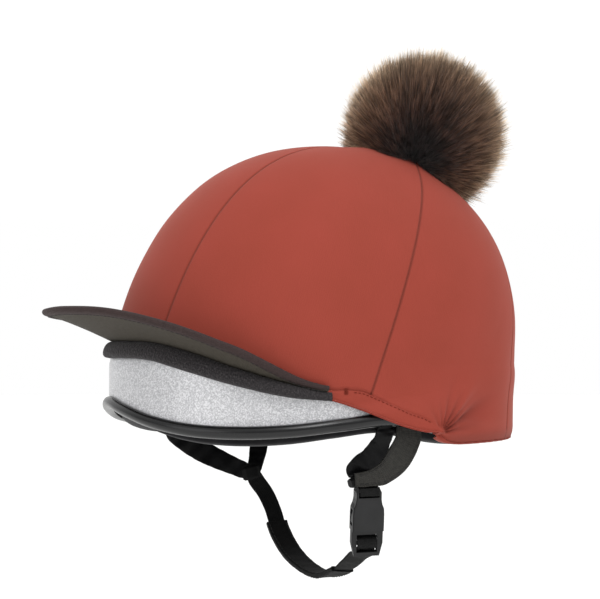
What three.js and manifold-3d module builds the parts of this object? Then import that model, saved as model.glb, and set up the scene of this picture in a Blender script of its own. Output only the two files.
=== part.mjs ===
import * as THREE from "three";
import Module from "manifold-3d";

const manifold = await Module();
manifold.setup();

// Millimetres. The wearer faces -Y, the wearer's left is +X and +Z is up.
// Level z = 0 is where the crown is widest, and the walls drop straight down from there.
const crownHalfWidth = 107;
const crownFrontReach = 111.7;
const crownRearReach = 153.5;
const crownRise = 140.5;
const crownFrontFullness = 2.7;
const crownRearFullness = 1.95;
const crownLean = 0.25;

const partGap = 0.3;
const clothThickness = 1.2;
const shellThickness = 3;
const strapPocket = 4.5;
const linerThickness = 17;
const linerDrop = 3.3;

const buttonBack = 81.3;
const buttonAxisTilt = 24.1;
const buttonRadius = 9;
const buttonThickness = 3;
const frontSeamAngle = 26.7;

const trimHeight = 7.5;
const trimLip = 2.2;
const trimStandOut = 1.4;
const trimRidge = 0.7;

const peakThickness = 2.4;
const peakInset = 1;
const bindingGrip = 3;
const bindingWall = 0.9;
const peakEnd = 86;
const bandBulge = 4.6;

const hemStart = 87.4;
const hemThickness = 1.5;
const hemTuck = 5;

const pompomRadius = 54;
const pompomCoreRadius = 44;
const pompomBack = 19;
const pompomUp = 22;
const pompomSeatGap = 0.9;
const pompomLocks = 44;
const lockRadius = 11;
const lockRoot = 26;

const harnessWidth = 14;
const harnessThickness = 1.6;
const chinWidth = 11.5;
const chinPadWidth = 14;
const chinPadThickness = 2.8;
const strapReachInside = 5;
const strapSlack = 0.4;
const ladderThickness = 1.3;

const buckleWidth = 19;
const buckleThickness = 8;
const socketLength = 26.5;
const plugLength = 15.5;
const plugThickness = 4;
const prongLength = 13.5;
const prongWidth = 3.4;
const loopRise = 1.2;
const loopSlotDrop = 3.9;
const loopSlotHeight = 3.4;
const ladderSlot = 4.9;
const upperSlotDrop = 4.6;
const lowerSlotDrop = 10.8;

// Heights round the head: the angle runs from the middle of the forehead to the nape, in degrees.
const coverEdgeTable = [
  { angle: 0, height: 15.3 },
  { angle: 15, height: 15 },
  { angle: 30, height: 13.7 },
  { angle: 45, height: 8 },
  { angle: 60, height: -0.9 },
  { angle: 75, height: -10 },
  { angle: 87, height: -14.4 },
  { angle: 95, height: -15 },
  { angle: 102, height: -21 },
  { angle: 110, height: -27 },
  { angle: 125, height: -32 },
  { angle: 180, height: -33 },
];
const bandBottomTable = [
  { angle: 0, height: 3.8 },
  { angle: 15, height: 3.8 },
  { angle: 30, height: 2.3 },
  { angle: 45, height: -4.3 },
  { angle: 60, height: -11.9 },
  { angle: 75, height: -18.2 },
  { angle: 88, height: -20.6 },
];
const rimTable = [
  { angle: 0, height: -27.2 },
  { angle: 15, height: -31.2 },
  { angle: 30, height: -37 },
  { angle: 45, height: -41 },
  { angle: 60, height: -42.2 },
  { angle: 75, height: -41.2 },
  { angle: 90, height: -38.2 },
  { angle: 103, height: -35.4 },
  { angle: 112, height: -39.4 },
  { angle: 122, height: -43 },
  { angle: 135, height: -44.5 },
  { angle: 180, height: -44.6 },
];
const hemBottomTable = [
  { angle: 86, height: -19.8 },
  { angle: 90, height: -21.6 },
  { angle: 95, height: -26 },
  { angle: 100, height: -31.2 },
  { angle: 105, height: -37 },
  { angle: 110, height: -43.3 },
  { angle: 116, height: -47 },
  { angle: 125, height: -48.2 },
  { angle: 180, height: -48.2 },
];
// How far the peak reaches out and how much it rises on the way.
const peakTable = [
  { angle: 0, depth: 42, rise: 16.8 },
  { angle: 15, depth: 41, rise: 17.2 },
  { angle: 30, depth: 36, rise: 16.3 },
  { angle: 45, depth: 28.5, rise: 14.2 },
  { angle: 60, depth: 18.5, rise: 10.9 },
  { angle: 72, depth: 10.5, rise: 8 },
  { angle: 80, depth: 6.5, rise: 5.8 },
  { angle: 86, depth: 5.2, rise: 4.4 },
];

const radians = THREE.MathUtils.degToRad;
const degrees = THREE.MathUtils.radToDeg;
const vector = (x, y, z) => new THREE.Vector3(x, y, z);

// A smooth reading of one column of a table, the same on both sides of the head.
function readTable(table, column, angle) {
  let turn = Math.abs(angle) % 360;
  turn = turn > 180 ? 360 - turn : turn;
  const last = table.length - 1;
  if (turn <= table[0].angle) return table[0][column];
  if (turn >= table[last].angle) return table[last][column];
  let i = 0;
  while (turn > table[i + 1].angle) i += 1;
  const slopeAt = (k) => {
    const before = table[Math.max(k - 1, 0)];
    const after = table[Math.min(k + 1, last)];
    const flat = (k === 0 && table[0].angle === 0) || (k === last && table[last].angle === 180);
    return flat ? 0 : (after[column] - before[column]) / (after.angle - before.angle);
  };
  const span = table[i + 1].angle - table[i].angle;
  const t = (turn - table[i].angle) / span;
  const rise = table[i + 1][column] - table[i][column];
  const a = slopeAt(i) * span - rise;
  const b = rise - slopeAt(i + 1) * span;
  return table[i][column] + rise * t + t * (1 - t) * (a * (1 - t) + b * t);
}

const coverEdge = (angle) => readTable(coverEdgeTable, "height", angle);
const bandBottom = (angle) => readTable(bandBottomTable, "height", angle);
const rimHeight = (angle) => readTable(rimTable, "height", angle);
const hemBottom = (angle) => readTable(hemBottomTable, "height", angle);

function fullness(cosine) {
  return crownFrontFullness + ((crownRearFullness - crownFrontFullness) * (1 - cosine)) / 2;
}

// A point of the head form at an angle round the head, a layer's offset from the cover's face and a height.
function wallPoint(angle, offset, height) {
  const cosine = Math.cos(radians(angle));
  const sine = Math.sin(radians(angle));
  const n = fullness(cosine);
  const rise = crownRise + offset;
  const share = Math.min(Math.max(height / rise, 0), 1);
  const narrowing = (1 - share ** n) ** (1 / n);
  const reach = (cosine > 0 ? crownFrontReach : crownRearReach) + offset;
  const back = crownLean * Math.max(height, 0);
  return vector((crownHalfWidth + offset) * sine * narrowing, back - reach * cosine * narrowing, height);
}

// Whether a point lies inside the layer at that offset: below 1 inside, 1 on it.
function layerLevel(point, offset) {
  const up = Math.max(point.z, 0);
  const y = point.y - crownLean * up;
  const reach = (y < 0 ? crownFrontReach : crownRearReach) + offset;
  const a = point.x / (crownHalfWidth + offset);
  const b = -y / reach;
  const plan = Math.hypot(a, b);
  const n = fullness(b / Math.max(plan, 1e-9));
  return point.z > 0 ? (plan ** n + (up / (crownRise + offset)) ** n) ** (1 / n) : plan;
}

function headAngle(point, offset) {
  const y = point.y - crownLean * Math.max(point.z, 0);
  const reach = (y < 0 ? crownFrontReach : crownRearReach) + offset;
  return degrees(Math.atan2(point.x / (crownHalfWidth + offset), -y / reach));
}

// Where a half line from a point inside meets the layer at that offset.
function layerHit(from, direction, offset) {
  let near = 0;
  let far = 400;
  for (let i = 0; i < 40; i += 1) {
    const middle = (near + far) / 2;
    const inside = layerLevel(from.clone().addScaledVector(direction, middle), offset) < 1;
    near = inside ? middle : near;
    far = inside ? far : middle;
  }
  return from.clone().addScaledVector(direction, near);
}

// The level plan direction that leaves the wall squarely.
function outwardAt(angle) {
  const cosine = Math.cos(radians(angle));
  const reach = cosine > 0 ? crownFrontReach : crownRearReach;
  return vector(Math.sin(radians(angle)) / crownHalfWidth, -cosine / reach, 0).normalize();
}

// One closed surface from loose triangles, turned to face out.
function closedSurface(points, triangles) {
  const keys = new Map();
  const position = [];
  const index = points.map((p) => {
    const key = [p.x, p.y, p.z].map((value) => Math.round(value * 1000)).join();
    if (!keys.has(key)) {
      keys.set(key, position.length / 3);
      position.push(p.x, p.y, p.z);
    }
    return keys.get(key);
  });
  const kept = triangles
    .map((triangle) => triangle.map((i) => index[i]))
    .filter(([a, b, c]) => a !== b && b !== c && c !== a);
  const at = (i) => new THREE.Vector3().fromArray(position, i * 3);
  const volume = kept.reduce((sum, [a, b, c]) => sum + at(a).dot(at(b).cross(at(c))), 0);
  const faces = volume < 0 ? kept.map(([a, b, c]) => [a, c, b]) : kept;
  const geometry = new THREE.BufferGeometry();
  geometry.setAttribute("position", new THREE.Float32BufferAttribute(position, 3));
  geometry.setIndex(faces.flat());
  geometry.computeVertexNormals();
  return geometry;
}

// A sheet with two faces, each a grid of rows of points, closed at every open edge.
function thickSheet(outer, inner, wraps) {
  const rows = outer.length;
  const columns = outer[0].length;
  const points = [...outer.flat(), ...inner.flat()];
  const half = rows * columns;
  const triangles = [];
  const quad = (a, b, c, d) => triangles.push([a, b, c], [a, c, d]);
  const rowSteps = wraps ? rows : rows - 1;
  for (let i = 0; i < rowSteps; i += 1) {
    const here = i * columns;
    const next = ((i + 1) % rows) * columns;
    for (let j = 0; j < columns - 1; j += 1) {
      quad(here + j, next + j, next + j + 1, here + j + 1);
      quad(half + here + j, half + here + j + 1, half + next + j + 1, half + next + j);
    }
    quad(here, half + here, half + next, next);
    const top = columns - 1;
    quad(here + top, next + top, half + next + top, half + here + top);
  }
  if (!wraps) {
    const end = (rows - 1) * columns;
    for (let j = 0; j < columns - 1; j += 1) {
      quad(j, j + 1, half + j + 1, half + j);
      quad(end + j, half + end + j, half + end + j + 1, end + j + 1);
    }
  }
  return closedSurface(points, triangles);
}

// A bar through a row of sections that all have the same number of corners.
function sweptSections(sections, outline, wraps) {
  const corners = sections[0].length;
  const triangles = [];
  const steps = wraps ? sections.length : sections.length - 1;
  for (let i = 0; i < steps; i += 1) {
    const here = i * corners;
    const next = ((i + 1) % sections.length) * corners;
    for (let j = 0; j < corners; j += 1) {
      const k = (j + 1) % corners;
      triangles.push([here + j, next + j, next + k], [here + j, next + k, here + k]);
    }
  }
  if (!wraps) {
    const end = (sections.length - 1) * corners;
    THREE.ShapeUtils.triangulateShape(outline, []).forEach(([a, b, c]) => {
      const swap = THREE.ShapeUtils.isClockWise(outline);
      triangles.push(swap ? [a, c, b] : [a, b, c]);
      triangles.push(swap ? [end + a, end + b, end + c] : [end + a, end + c, end + b]);
    });
  }
  return closedSurface(sections.flat(), triangles);
}

function steps(from, to, count) {
  return Array.from({ length: count + 1 }, (_, i) => from + ((to - from) * i) / count);
}

function toSolid(geometry) {
  const keys = new Map();
  const position = [];
  const source = geometry.getAttribute("position");
  const order = geometry.index ? Array.from(geometry.index.array) : [...Array(source.count).keys()];
  const index = order.map((i) => {
    const p = [source.getX(i), source.getY(i), source.getZ(i)];
    const key = p.map((value) => Math.round(value * 1e4)).join();
    if (!keys.has(key)) {
      keys.set(key, position.length / 3);
      position.push(...p);
    }
    return keys.get(key);
  });
  const faces = [];
  for (let i = 0; i < index.length; i += 3) {
    const [a, b, c] = index.slice(i, i + 3);
    if (a !== b && b !== c && c !== a) faces.push(a, b, c);
  }
  const mesh = new manifold.Mesh({
    numProp: 3,
    vertProperties: new Float32Array(position),
    triVerts: new Uint32Array(faces),
  });
  return new manifold.Manifold(mesh);
}

function fromSolid(solid) {
  const mesh = solid.getMesh();
  const geometry = new THREE.BufferGeometry();
  geometry.setAttribute("position", new THREE.Float32BufferAttribute(mesh.vertProperties, 3));
  geometry.setIndex(Array.from(mesh.triVerts));
  geometry.computeVertexNormals();
  return geometry;
}

const cap = new THREE.Group();
cap.name = "jockey_cap";

const finishes = {
  silverShell: new THREE.MeshStandardMaterial({ color: 0xc9cacb, metalness: 0.4, roughness: 0.45 }),
  linerFoam: new THREE.MeshStandardMaterial({ color: 0x2b2a2b, roughness: 0.95 }),
  trimRubber: new THREE.MeshStandardMaterial({ color: 0x1f1f20, roughness: 0.45 }),
  redJersey: new THREE.MeshStandardMaterial({ color: 0xb04a3a, roughness: 0.75 }),
  peakCloth: new THREE.MeshStandardMaterial({ color: 0x4a4744, roughness: 0.85 }),
  bandCloth: new THREE.MeshStandardMaterial({ color: 0x303033, roughness: 0.95 }),
  pompomFur: new THREE.MeshStandardMaterial({ color: 0x6b5343, roughness: 1 }),
  harnessWebbing: new THREE.MeshStandardMaterial({ color: 0x1b1b1c, roughness: 0.85 }),
  buckleNylon: new THREE.MeshStandardMaterial({ color: 0x161617, roughness: 0.4 }),
};

function addPart(name, geometry, finish) {
  const mesh = new THREE.Mesh(geometry, finishes[finish].clone());
  mesh.name = name;
  cap.add(mesh);
}

const clothBack = -clothThickness;
const shellOuter = clothBack - partGap;
const shellInner = shellOuter - shellThickness;
const linerOuter = shellInner - partGap;
const linerPocket = linerOuter - strapPocket;
const linerInner = linerOuter - linerThickness;
const shellEdge = (angle) => rimHeight(angle) + trimLip + 3 * partGap;

// The cover's panels fan out from the button, which sits behind the top of the crown.
const buttonUp = vector(0, Math.sin(radians(buttonAxisTilt)), Math.cos(radians(buttonAxisTilt)));
const buttonFront = vector(0, -Math.cos(radians(buttonAxisTilt)), Math.sin(radians(buttonAxisTilt)));
const buttonSide = vector(1, 0, 0);
const fanReach = 108;
const buttonFoot = layerHit(vector(0, buttonBack, 0), vector(0, 0, 1), 0);
const fanCentre = buttonFoot.clone().addScaledVector(buttonUp, -fanReach);
const fanStart = degrees((buttonRadius - 2) / fanReach);

function fanDirection(turn, lean) {
  return buttonUp
    .clone()
    .multiplyScalar(Math.cos(radians(lean)))
    .addScaledVector(buttonFront, Math.sin(radians(lean)) * Math.cos(radians(turn)))
    .addScaledVector(buttonSide, Math.sin(radians(lean)) * Math.sin(radians(turn)));
}

// How far a panel leans over before it reaches the cover's edge.
function fanEnd(turn) {
  let near = 40;
  let far = 175;
  for (let i = 0; i < 30; i += 1) {
    const middle = (near + far) / 2;
    const point = layerHit(fanCentre, fanDirection(turn, middle), 0);
    const above = point.z > coverEdge(headAngle(point, 0)) + partGap;
    near = above ? middle : near;
    far = above ? far : middle;
  }
  return near;
}

const seams = [
  { name: "cover_panel_front", from: -frontSeamAngle, to: frontSeamAngle },
  { name: "cover_panel_left_front", from: frontSeamAngle, to: 90 },
  { name: "cover_panel_left_rear", from: 90, to: 180 - frontSeamAngle },
  { name: "cover_panel_rear", from: 180 - frontSeamAngle, to: 180 + frontSeamAngle },
  { name: "cover_panel_right_rear", from: 180 + frontSeamAngle, to: 270 },
  { name: "cover_panel_right_front", from: 270, to: 360 - frontSeamAngle },
];
const panelAcross = 6;
const panelDown = 8;

// Every layer follows the same columns, so that their facets lie side by side.
const columns = seams
  .flatMap((seam) => steps(seam.from, seam.to, panelAcross).slice(0, -1))
  .map((turn) => {
    const end = fanEnd(turn);
    const foot = layerHit(fanCentre, fanDirection(turn, end), 0);
    return { turn, end, angle: headAngle(foot, 0) };
  });

const columnAngles = columns.map((column) => column.angle).sort((a, b) => a - b);
const fineAngles = columnAngles.flatMap((angle, i) => {
  const next = i + 1 < columnAngles.length ? columnAngles[i + 1] : columnAngles[0] + 360;
  return [angle, (angle + next) / 2];
});

// The fine angles between two ends, with the ends themselves.
function anglesBetween(from, to) {
  const middle = [...fineAngles, ...fineAngles.map((angle) => angle + 360)];
  return [from, ...middle.filter((angle) => angle > from + 1 && angle < to - 1), to];
}

function fanPoints(column, offset) {
  const top = layerHit(fanCentre, buttonUp, offset);
  const rest = steps(fanStart, column.end, panelDown);
  return [top, ...rest.map((lean) => layerHit(fanCentre, fanDirection(column.turn, lean), offset))];
}

// The hard shell: a hollow dome whose open edge follows the rim.
function shellColumn(column, offset) {
  const dome = fanPoints(column, offset);
  const edge = shellEdge(column.angle);
  const foot = coverEdge(column.angle) + partGap;
  const wall = steps(foot, edge, 2).slice(1);
  return [...dome, ...wall.map((height) => wallPoint(column.angle, offset, height))];
}

function makeShell() {
  const face = (offset) => columns.map((column) => shellColumn(column, offset));
  return thickSheet(face(shellOuter), face(shellInner), true);
}

// The padded liner, thinner behind the strap ends near the rim and showing as a dark edge below it.
function makeLiner() {
  const outer = columns.map((column) => {
    const low = rimHeight(column.angle) - linerDrop;
    const room = rimHeight(column.angle) + strapReachInside + 4.5;
    const ledge = Math.min(room, coverEdge(column.angle) - 2);
    const wall = [
      wallPoint(column.angle, linerOuter, ledge + 1.4),
      wallPoint(column.angle, linerPocket, ledge),
      wallPoint(column.angle, linerPocket, low),
    ];
    return [...fanPoints(column, linerOuter), ...wall];
  });
  const inner = columns.map((column) => {
    const dome = fanPoints(column, linerInner);
    const foot = dome[dome.length - 1];
    const angle = headAngle(foot, linerInner);
    const low = rimHeight(angle) - linerDrop;
    const wall = steps(foot.z, low, 3).slice(1);
    return [...dome, ...wall.map((height) => wallPoint(angle, linerInner, height))];
  });
  return thickSheet(outer, inner, true);
}

// The rubber trim hooks under the shell's edge and shows two soft ridges on its face.
function makeTrim() {
  const face = trimStandOut;
  const lip = trimHeight * 0.5;
  const outline = [
    [shellInner, 0.5],
    [face - 0.6, 0],
    [face + trimRidge, 1.6],
    [face + trimRidge, lip - 0.8],
    [face - 0.2, lip],
    [face - 0.1, trimHeight - 0.6],
    [shellOuter + partGap, trimHeight],
    [shellOuter + partGap, trimLip],
    [shellInner, trimLip],
  ].map(([offset, height]) => new THREE.Vector2(offset, height));
  const sections = fineAngles.map((a) => outline.map((p) => wallPoint(a, p.x, rimHeight(a) + p.y)));
  return sweptSections(sections, outline, true);
}

function makePanel(seam) {
  const face = (offset) =>
    steps(0, 1, panelAcross).map((share) => {
      const turn = seam.from + (seam.to - seam.from) * share;
      const end = fanEnd(turn);
      return steps(fanStart, end, panelDown).map((lean) => {
        const ring = fanReach * Math.sin(radians(lean));
        const inset = degrees(partGap / 2 / ring) * (1 - 2 * share);
        return layerHit(fanCentre, fanDirection(turn + inset, lean), offset);
      });
    });
  return thickSheet(face(0), face(clothBack), false);
}

// The hem band runs from one end of the peak round the nape to the other and tucks under the rim.
function hemSection(angle) {
  const top = coverEdge(angle) - 0.5;
  const bottom = hemBottom(angle);
  const trimTop = rimHeight(angle) + trimHeight;
  const half = hemThickness / 2;
  const flush = -clothThickness / 2;
  const proud = trimStandOut + trimRidge + 2.5 * partGap + half;
  const tuck = hemTuck * THREE.MathUtils.smoothstep(rimHeight(angle) - bottom, 2.2, 3.4) + 0.3;
  const path = steps(0, 1, 3).map((share) => {
    const height = top + (bottom + half + 0.6 - top) * share;
    const over = THREE.MathUtils.smoothstep(trimTop + 4.6 - height, 0, 3);
    return new THREE.Vector2(flush + (proud - flush) * over, height);
  });
  const foot = path[path.length - 1];
  path.push(new THREE.Vector2(foot.x - 0.5 * Math.min(tuck, 1), bottom + half));
  path.push(new THREE.Vector2(foot.x - tuck, bottom + half * 0.9));
  const side = (sign) =>
    path.map((p, i) => {
      const before = path[Math.max(i - 1, 0)];
      const after = path[Math.min(i + 1, path.length - 1)];
      const run = after.clone().sub(before).normalize();
      return new THREE.Vector2(p.x - sign * run.y * half, p.y + sign * run.x * half);
    });
  return [...side(1), ...side(-1).reverse()];
}

function makeHem() {
  const angles = anglesBetween(hemStart, 360 - hemStart);
  const outlines = angles.map(hemSection);
  const sections = outlines.map((outline, i) => outline.map((p) => wallPoint(angles[i], p.x, p.y)));
  return sweptSections(sections, outlines[0], false);
}

// The peak: a stiff crescent that leaves the cover's front edge and turns up a little.
function peakPoint(angle, share, lift) {
  const depth = readTable(peakTable, "depth", angle) - peakInset;
  const rise = readTable(peakTable, "rise", angle);
  const along = Math.hypot(depth, rise);
  const arch = Math.sin(Math.PI * share) * depth * 0.02;
  const out = depth * share - (lift * rise) / along;
  const up = rise * share + arch + (lift * depth) / along;
  const root = wallPoint(angle, peakInset, 0);
  const level = coverEdge(angle);
  const seat = wallPoint(angle, peakInset, Math.max(level, 0));
  const start = vector(seat.x, level > 0 ? seat.y : root.y, level);
  return start.addScaledVector(outwardAt(angle), out).setZ(level + up);
}

function makePeak() {
  const angles = anglesBetween(-peakEnd, peakEnd);
  const face = (lift) => angles.map((a) => steps(0, 1, 4).map((share) => peakPoint(a, share, lift)));
  return thickSheet(face(peakThickness / 2), face(-peakThickness / 2), false);
}

// The binding folds over the peak's outer edge.
function makeBinding() {
  const slot = peakThickness / 2 + partGap;
  const skin = slot + bindingWall;
  const outline = [
    [-bindingGrip, slot],
    [-bindingGrip, skin],
    [0.8, skin],
    [2.2, 0],
    [0.8, -skin],
    [-bindingGrip, -skin],
    [-bindingGrip, -slot],
    [partGap, -slot],
    [partGap, slot],
  ].map(([out, lift]) => new THREE.Vector2(out, lift));
  const angles = anglesBetween(-peakEnd, peakEnd);
  const sections = angles.map((a) => {
    const depth = readTable(peakTable, "depth", a) - peakInset;
    return outline.map((p) => peakPoint(a, 1 + p.x / depth, p.y));
  });
  return sweptSections(sections, outline, false);
}

// The padded forehead band under the peak.
function makeBand() {
  const back = shellOuter + partGap;
  const share = [
    [back, 0],
    [0.9, 0],
    [bandBulge * 0.75, 0.24],
    [bandBulge, 0.52],
    [bandBulge * 0.78, 0.82],
    [1, 1],
    [back, 1],
  ].map(([offset, drop]) => new THREE.Vector2(offset, drop));
  const angles = anglesBetween(-peakEnd, peakEnd);
  const sections = angles.map((a) => {
    const top = coverEdge(a) - peakThickness / 2 - partGap - 0.2;
    const bottom = bandBottom(a);
    return share.map((p) => wallPoint(a, p.x, top + (bottom - top) * p.y));
  });
  return sweptSections(sections, share, false);
}

// A covered button on the meeting point of the seams, hidden by the pompom.
function makeButton() {
  const profile = [
    [0, -0.6],
    [buttonRadius - 3, -0.6],
    [buttonRadius - 2.6, partGap],
    [buttonRadius, partGap + 0.3],
    [buttonRadius - 0.8, buttonThickness],
    [0, buttonThickness + 0.6],
  ].map(([radius, height]) => new THREE.Vector2(radius, height));
  const geometry = new THREE.LatheGeometry(profile, 16);
  const turn = new THREE.Quaternion().setFromUnitVectors(vector(0, 1, 0), buttonUp);
  const place = new THREE.Matrix4().compose(buttonFoot, turn, vector(1, 1, 1));
  return fromSolid(toSolid(geometry.applyMatrix4(place)));
}

// The pompom: a squashed core and tapering locks, cut to the crown below.
function makePompom() {
  const centre = buttonFoot.clone().add(vector(0, pompomBack, pompomUp));
  let body = toSolid(new THREE.IcosahedronGeometry(pompomCoreRadius, 2));
  const golden = Math.PI * (3 - Math.sqrt(5));
  for (let i = 0; i < pompomLocks; i += 1) {
    const y = 1 - (2 * (i + 0.5)) / pompomLocks;
    const ring = Math.sqrt(1 - y * y);
    const direction = vector(Math.cos(golden * i) * ring, y, Math.sin(golden * i) * ring);
    const length = pompomRadius - lockRoot + 2.4 * Math.sin(i * 2.3);
    const lock = new THREE.CylinderGeometry(lockRadius * 0.4, lockRadius, length, 5);
    const source = lock.getAttribute("position");
    for (let k = 0; k < source.count; k += 1) {
      const share = source.getY(k) / length + 0.5;
      source.setX(k, source.getX(k) + 2.4 * share * Math.sin(i * 1.7));
      source.setZ(k, source.getZ(k) + 2.4 * share * Math.cos(i * 1.3));
    }
    const turn = new THREE.Quaternion().setFromUnitVectors(vector(0, 1, 0), direction);
    const foot = direction.clone().multiplyScalar(lockRoot + length / 2);
    lock.applyMatrix4(new THREE.Matrix4().compose(foot, turn, vector(1, 1, 1)));
    body = body.add(toSolid(lock));
  }
  body = body.translate(centre.toArray());
  const leans = steps(0, 80, 10);
  const dome = steps(0, 360, 40)
    .slice(0, -1)
    .map((turn) => leans.map((lean) => layerHit(fanCentre, fanDirection(turn, lean), pompomSeatGap)));
  const crown = toSolid(thickSheet(dome, dome.map(() => leans.map(() => fanCentre)), true));
  const seat = toSolid(new THREE.SphereGeometry(buttonRadius + 2.5, 20, 12));
  const seatAt = buttonFoot.clone().addScaledVector(buttonUp, 1);
  body = body.subtract(crown).subtract(seat.translate(seatAt.toArray()));
  const pieces = body.decompose().sort((a, b) => b.volume() - a.volume());
  return fromSolid(pieces[0].simplify(0.05));
}

// Webbing through a row of stations: place, the way its face looks, and its width and thickness.
function makeStrap(stations, pieces) {
  const path = new THREE.CatmullRomCurve3(
    stations.map((s) => s.at),
    false,
    "centripetal",
  );
  const last = stations.length - 1;
  const outline = [
    [-0.5, 0],
    [-0.46, -0.5],
    [0.46, -0.5],
    [0.5, 0],
    [0.46, 0.5],
    [-0.46, 0.5],
  ].map(([u, v]) => new THREE.Vector2(u, v));
  const acrossAt = stations.map((s, i) => {
    const run = path.getTangent(i / last);
    return s.across || s.facing.clone().projectOnPlane(run).normalize().cross(run);
  });
  const sections = steps(0, 1, pieces).map((t) => {
    const i = Math.min(Math.floor(t * last), last - 1);
    const share = THREE.MathUtils.smoothstep(t * last - i, 0, 1);
    const width = THREE.MathUtils.lerp(stations[i].width, stations[i + 1].width, share);
    const thickness = THREE.MathUtils.lerp(stations[i].thickness, stations[i + 1].thickness, share);
    const centre = path.getPoint(t);
    const run = path.getTangent(t);
    const wide = acrossAt[i].clone().lerp(acrossAt[i + 1], share).projectOnPlane(run).normalize();
    const thick = run.clone().cross(wide);
    return outline.map((p) =>
      centre
        .clone()
        .addScaledVector(wide, p.x * width)
        .addScaledVector(thick, p.y * thickness),
    );
  });
  return sweptSections(sections, outline, false);
}

function station(at, facing, width = harnessWidth, thickness = harnessThickness) {
  return { at, facing: facing.clone().normalize(), width, thickness };
}

// A strap's end inside the rim pocket, and where it leaves the pocket below the liner.
function pocketEnd(angleInside, angleBelow, width) {
  const offset = shellInner - partGap - harnessThickness / 2 - strapSlack;
  const at = (angle, height) => wallPoint(angle, offset, rimHeight(angle) + height);
  const middle = (angleInside + angleBelow) / 2;
  return [
    station(at(angleInside, strapReachInside), outwardAt(angleInside), width),
    station(at(middle, 0.5), outwardAt(middle), width),
    station(at(angleBelow, -linerDrop - 2.5), outwardAt(angleBelow), width),
  ];
}

// A place on the harness: its x is a share of the crown's half width, since the straps hang beside the head.
function hang(share, back, height) {
  return vector(share * crownHalfWidth, back, height);
}

const leftJoint = hang(0.8037, 24, -67.3);
const rightJoint = hang(-0.7944, 4, -77);

// The two branches on each side end just above a folded keeper that joins them.
function makeJoint(centre, run, across, length, width, thickness) {
  const outline = [
    [-0.5, -0.2],
    [-0.32, -0.5],
    [0.32, -0.5],
    [0.5, -0.2],
    [0.5, 0.2],
    [0.32, 0.5],
    [-0.32, 0.5],
    [-0.5, 0.2],
  ].map(([u, v]) => new THREE.Vector2(u, v));
  const wide = across.clone().projectOnPlane(run).normalize();
  const thick = run.clone().cross(wide);
  const sections = [
    [-0.5, 0.8],
    [-0.38, 1],
    [0.38, 1],
    [0.5, 0.8],
  ].map(([share, swell]) =>
    outline.map((p) =>
      centre
        .clone()
        .addScaledVector(run, share * length)
        .addScaledVector(wide, p.x * width * swell)
        .addScaledVector(thick, p.y * thickness * swell),
    ),
  );
  return sweptSections(sections, outline, false);
}

// The buckle's own frame: u across, v up along the strap, w out of its face.
const buckleTop = hang(0.7963, 26.7, -71.6);
const buckleRun = vector(-0.22, 0.05, -0.975).normalize();
const buckleAcross = vector(0.12, 0.992, 0).projectOnPlane(buckleRun).normalize();
const buckleUp = buckleRun.clone().negate();
const buckleOut = buckleAcross.clone().cross(buckleUp);

function placeBuckle(geometry) {
  const basis = new THREE.Matrix4().makeBasis(buckleAcross, buckleUp, buckleOut);
  return geometry.applyMatrix4(basis.setPosition(buckleTop));
}

function slab(corners, from, thickness) {
  const shape = new THREE.Shape(corners.map(([u, v]) => new THREE.Vector2(u, v)));
  const geometry = new THREE.ExtrudeGeometry(shape, { depth: thickness, bevelEnabled: false });
  return toSolid(geometry.translate(0, 0, from));
}

function block(u, v, w, width, height, depth) {
  return toSolid(new THREE.BoxGeometry(width, height, depth).translate(u, v, w));
}

const buckleHalf = buckleWidth / 2;
const mouthDepth = prongLength + 1.2;
const webSlotWidth = chinWidth + 1;

function makeSocket() {
  const low = -socketLength;
  const outline = [
    [-buckleHalf * 0.66, 0],
    [buckleHalf * 0.66, 0],
    [buckleHalf * 0.8, -2.5],
    [buckleHalf * 0.8, -7],
    [buckleHalf * 0.86, -10],
    [buckleHalf * 0.97, -12.5],
    [buckleHalf, -16],
    [buckleHalf, low],
    [-buckleHalf, low],
    [-buckleHalf, -16],
    [-buckleHalf * 0.97, -12.5],
    [-buckleHalf * 0.86, -10],
    [-buckleHalf * 0.8, -7],
    [-buckleHalf * 0.8, -2.5],
  ];
  const half = buckleThickness / 2;
  const hull = slab(outline, -half, buckleThickness);
  const edge = slab(outline.map(([u, v]) => [u * 0.93, v * 0.97 - 0.3]), -half - 0.5, buckleThickness + 1);
  const mouth = block(0, low + mouthDepth / 2 - 0.5, 0, buckleWidth - 3, mouthDepth + 1, buckleThickness - 3);
  const windowHeight = 10.1;
  const window = block(0, low + 8.3, 0, buckleWidth + 4, windowHeight, buckleThickness - 3);
  const slot = block(0, -loopSlotDrop, 0, webSlotWidth, loopSlotHeight, buckleThickness + 4);
  return fromSolid(hull.add(edge).subtract(mouth).subtract(window).subtract(slot));
}

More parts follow.
